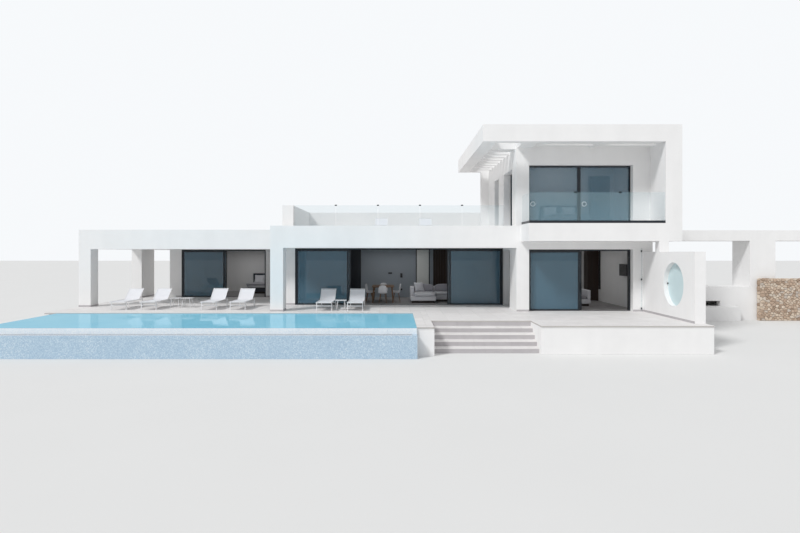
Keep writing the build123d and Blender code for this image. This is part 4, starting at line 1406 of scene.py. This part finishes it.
def upright(shape, low, high, pitch):
    s = panelSettings
    count = max(1, round((high.x - low.x) / pitch))
    step = (high.x - low.x) / count
    for index in range(count):
        block(shape, (low.x + index * step + s["groove"] / 2, low.y, low.z),
              (low.x + (index + 1) * step - s["groove"] / 2, high.y, high.z), s["arris"])


def hangPanels():
    s = panelSettings
    boxes = solidBoxes("wall_panels")
    dark, light, brown = sorted((box for box in boxes if box[1].y - box[0].y < s["thick"]),
                                key=lambda box: box[0].x)
    wardrobe = [box for box in boxes if box[1].y - box[0].y > s["thick"]][0]
    lacquered, boards, bars, glass = (bmesh.new() for _ in range(4))
    upright(lacquered, *dark, dark[1].x - dark[0].x)
    upright(boards, *brown, s["board"])
    upright(boards, *wardrobe, (wardrobe[1].x - wardrobe[0].x) / 2)
    low, high = light
    left, right, top = low.x + s["frame"], high.x - s["frame"], high.z - s["frame"]
    block(bars, low, (left, high.y, high.z), s["arris"])
    block(bars, (right, low.y, low.z), high, s["arris"])
    block(bars, (left, low.y, top), (right, high.y, high.z), s["arris"])
    block(glass, (left, low.y + s["glassInset"], low.z), (right, high.y - s["glassInset"], top), 0.002)
    first = addPiece("lacqueredPanel", lacquered, lacquer)
    addPiece("boardedPanels", boards, stainedBoards, toned=True)
    addPiece("etchedDoorFrame", bars, darkMetal)
    addPiece("etchedDoorGlass", glass, etchedGlass)
    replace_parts(first, "wall_panels")


hangPanels()
print("panels hung")

# Small fittings: the glass strip by the pier with its clamps, pull rings on the upper panes,
# the catch of the round window, the doors' handles and the lamps of the upper room

fittingSettings = {
    "strip": (0.10, 0.010, 0.09),           # inset from the pier's end, thickness and depth
    "stripLevels": (0.005, 2.45),
    "clampLevels": (0.12, 1.24, 2.33),
    "clamp": (0.012, 0.05, 0.035),          # past the glass, depth and half of the height
    "catch": (0.04, 0.05, 0.025),
    "catchInset": 0.01,
    "pullRadius": 0.085,
    "pullTube": 0.012,
    "pullLevel": 0.83,
    "pullInset": 0.15,
    "turns": 28,
    "sides": 10,
}


def fitFittings():
    s = fittingSettings
    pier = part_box("guest_front_pier")
    inset, thickness, depth = s["strip"]
    left, face = pier[1].x - inset, pier[0].y
    right = left + thickness
    foot, head = (deckLevel + level for level in s["stripLevels"])
    strips, clamps, pulls = (bmesh.new() for _ in range(3))
    block(strips, (left, face - depth, foot), (right, face - 0.0005, head), 0.002)
    past, depth, half = s["clamp"]
    for level in (deckLevel + level for level in s["clampLevels"]):
        block(clamps, (left - past, face - depth, level - half), (right + past, face, level + half), 0.004)
    low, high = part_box("round_window_glass")
    width, depth, half = s["catch"]
    middle = (low.z + high.z) / 2
    block(clamps, (low.x - width, high.y - depth, middle - half),
          (low.x, high.y - s["catchInset"], middle + half), 0.006)
    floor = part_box("upper_floor_slab")[1].z
    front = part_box("window_glass")[0].y
    for low, high in solidBoxes("window_glass"):
        if low.z > floor and high.y - low.y < 0.05 and low.y < front + 0.01:
            ringPiece(pulls, Vector((low.x + s["pullInset"], low.y - s["pullTube"] * 0.6,
                                     floor + s["pullLevel"])))
    addPiece("edgeGlass", strips, clearGlass)
    addPiece("edgeClamps", clamps, darkMetal)
    addPiece("pullRings", pulls, paleMetal, smooth=True)


def ringPiece(shape, center):
    s = fittingSettings
    radius, tube = s["pullRadius"], s["pullTube"]
    rows = []
    for turn in range(s["turns"]):
        angle = 2 * math.pi * turn / s["turns"]
        out = Vector((math.cos(angle), 0, math.sin(angle)))
        row = []
        for side in range(s["sides"]):
            around = 2 * math.pi * side / s["sides"]
            row.append(shape.verts.new(center + out * (radius + tube * math.cos(around))
                                       + Vector((0, tube * math.sin(around) * 0.5, 0))))
        rows.append(row)
    quads(shape, rows + rows[:1], closed=True)


handleSettings = {
    "length": 0.42,
    "level": 0.92,
    "inset": 0.045,
    "reach": 0.032,
    "radius": 0.011,
    "stems": 0.05,
    "stemRadius": 0.0077,
    "root": 0.004,
}


def fitHandles():
    s = handleSettings
    for door, side in {"bedroom": 1, "living_left": 1, "living_right": -1, "guest": 1}.items():
        low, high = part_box(door + "_slider_frame")
        x = high.x - s["inset"] if side > 0 else low.x + s["inset"]
        y = low.y - s["reach"]
        foot = deckLevel + s["level"] - s["length"] / 2
        head = foot + s["length"]
        shape = bmesh.new()
        rod(shape, (x, y, foot), (x, y, head), s["radius"], sides=14)
        for z in (foot + s["stems"], head - s["stems"]):
            rod(shape, (x, low.y + s["root"], z), (x, y, z), s["stemRadius"])
        addPiece(door + "Handle", shape, darkMetal, smooth=True, body=door + "_slider")


lampSettings = {
    "places": ((6.19, 3.75), (9.37, 3.75)),
    "length": 0.28,
    "rose": (0.02, -0.02, 0.05, 20),        # levels from the ceiling, radius and sides
    "tube": (0.0, -0.28, 0.075, 24),
    "rim": (-0.27, -0.286, 0.081, 24),
}


def hangLamps():
    s = lampSettings
    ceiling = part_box("pergola_slats")[0].z
    shape = bmesh.new()
    for x, y in s["places"]:
        for start, end, radius, sides in (s["rose"], s["tube"], s["rim"]):
            rod(shape, (x, y, ceiling + start), (x, y, ceiling + end), radius, sides=sides)
    addPiece("ceilingLamps", shape, paleMetal)


fitFittings()
fitHandles()
hangLamps()
print("fittings fixed")

bpy.ops.mesh.primitive_plane_add(size=400, location=(0, 0, -0.002))
floor = bpy.context.object
floor.name = "floor"
floor.data.materials.append(studioFloor)
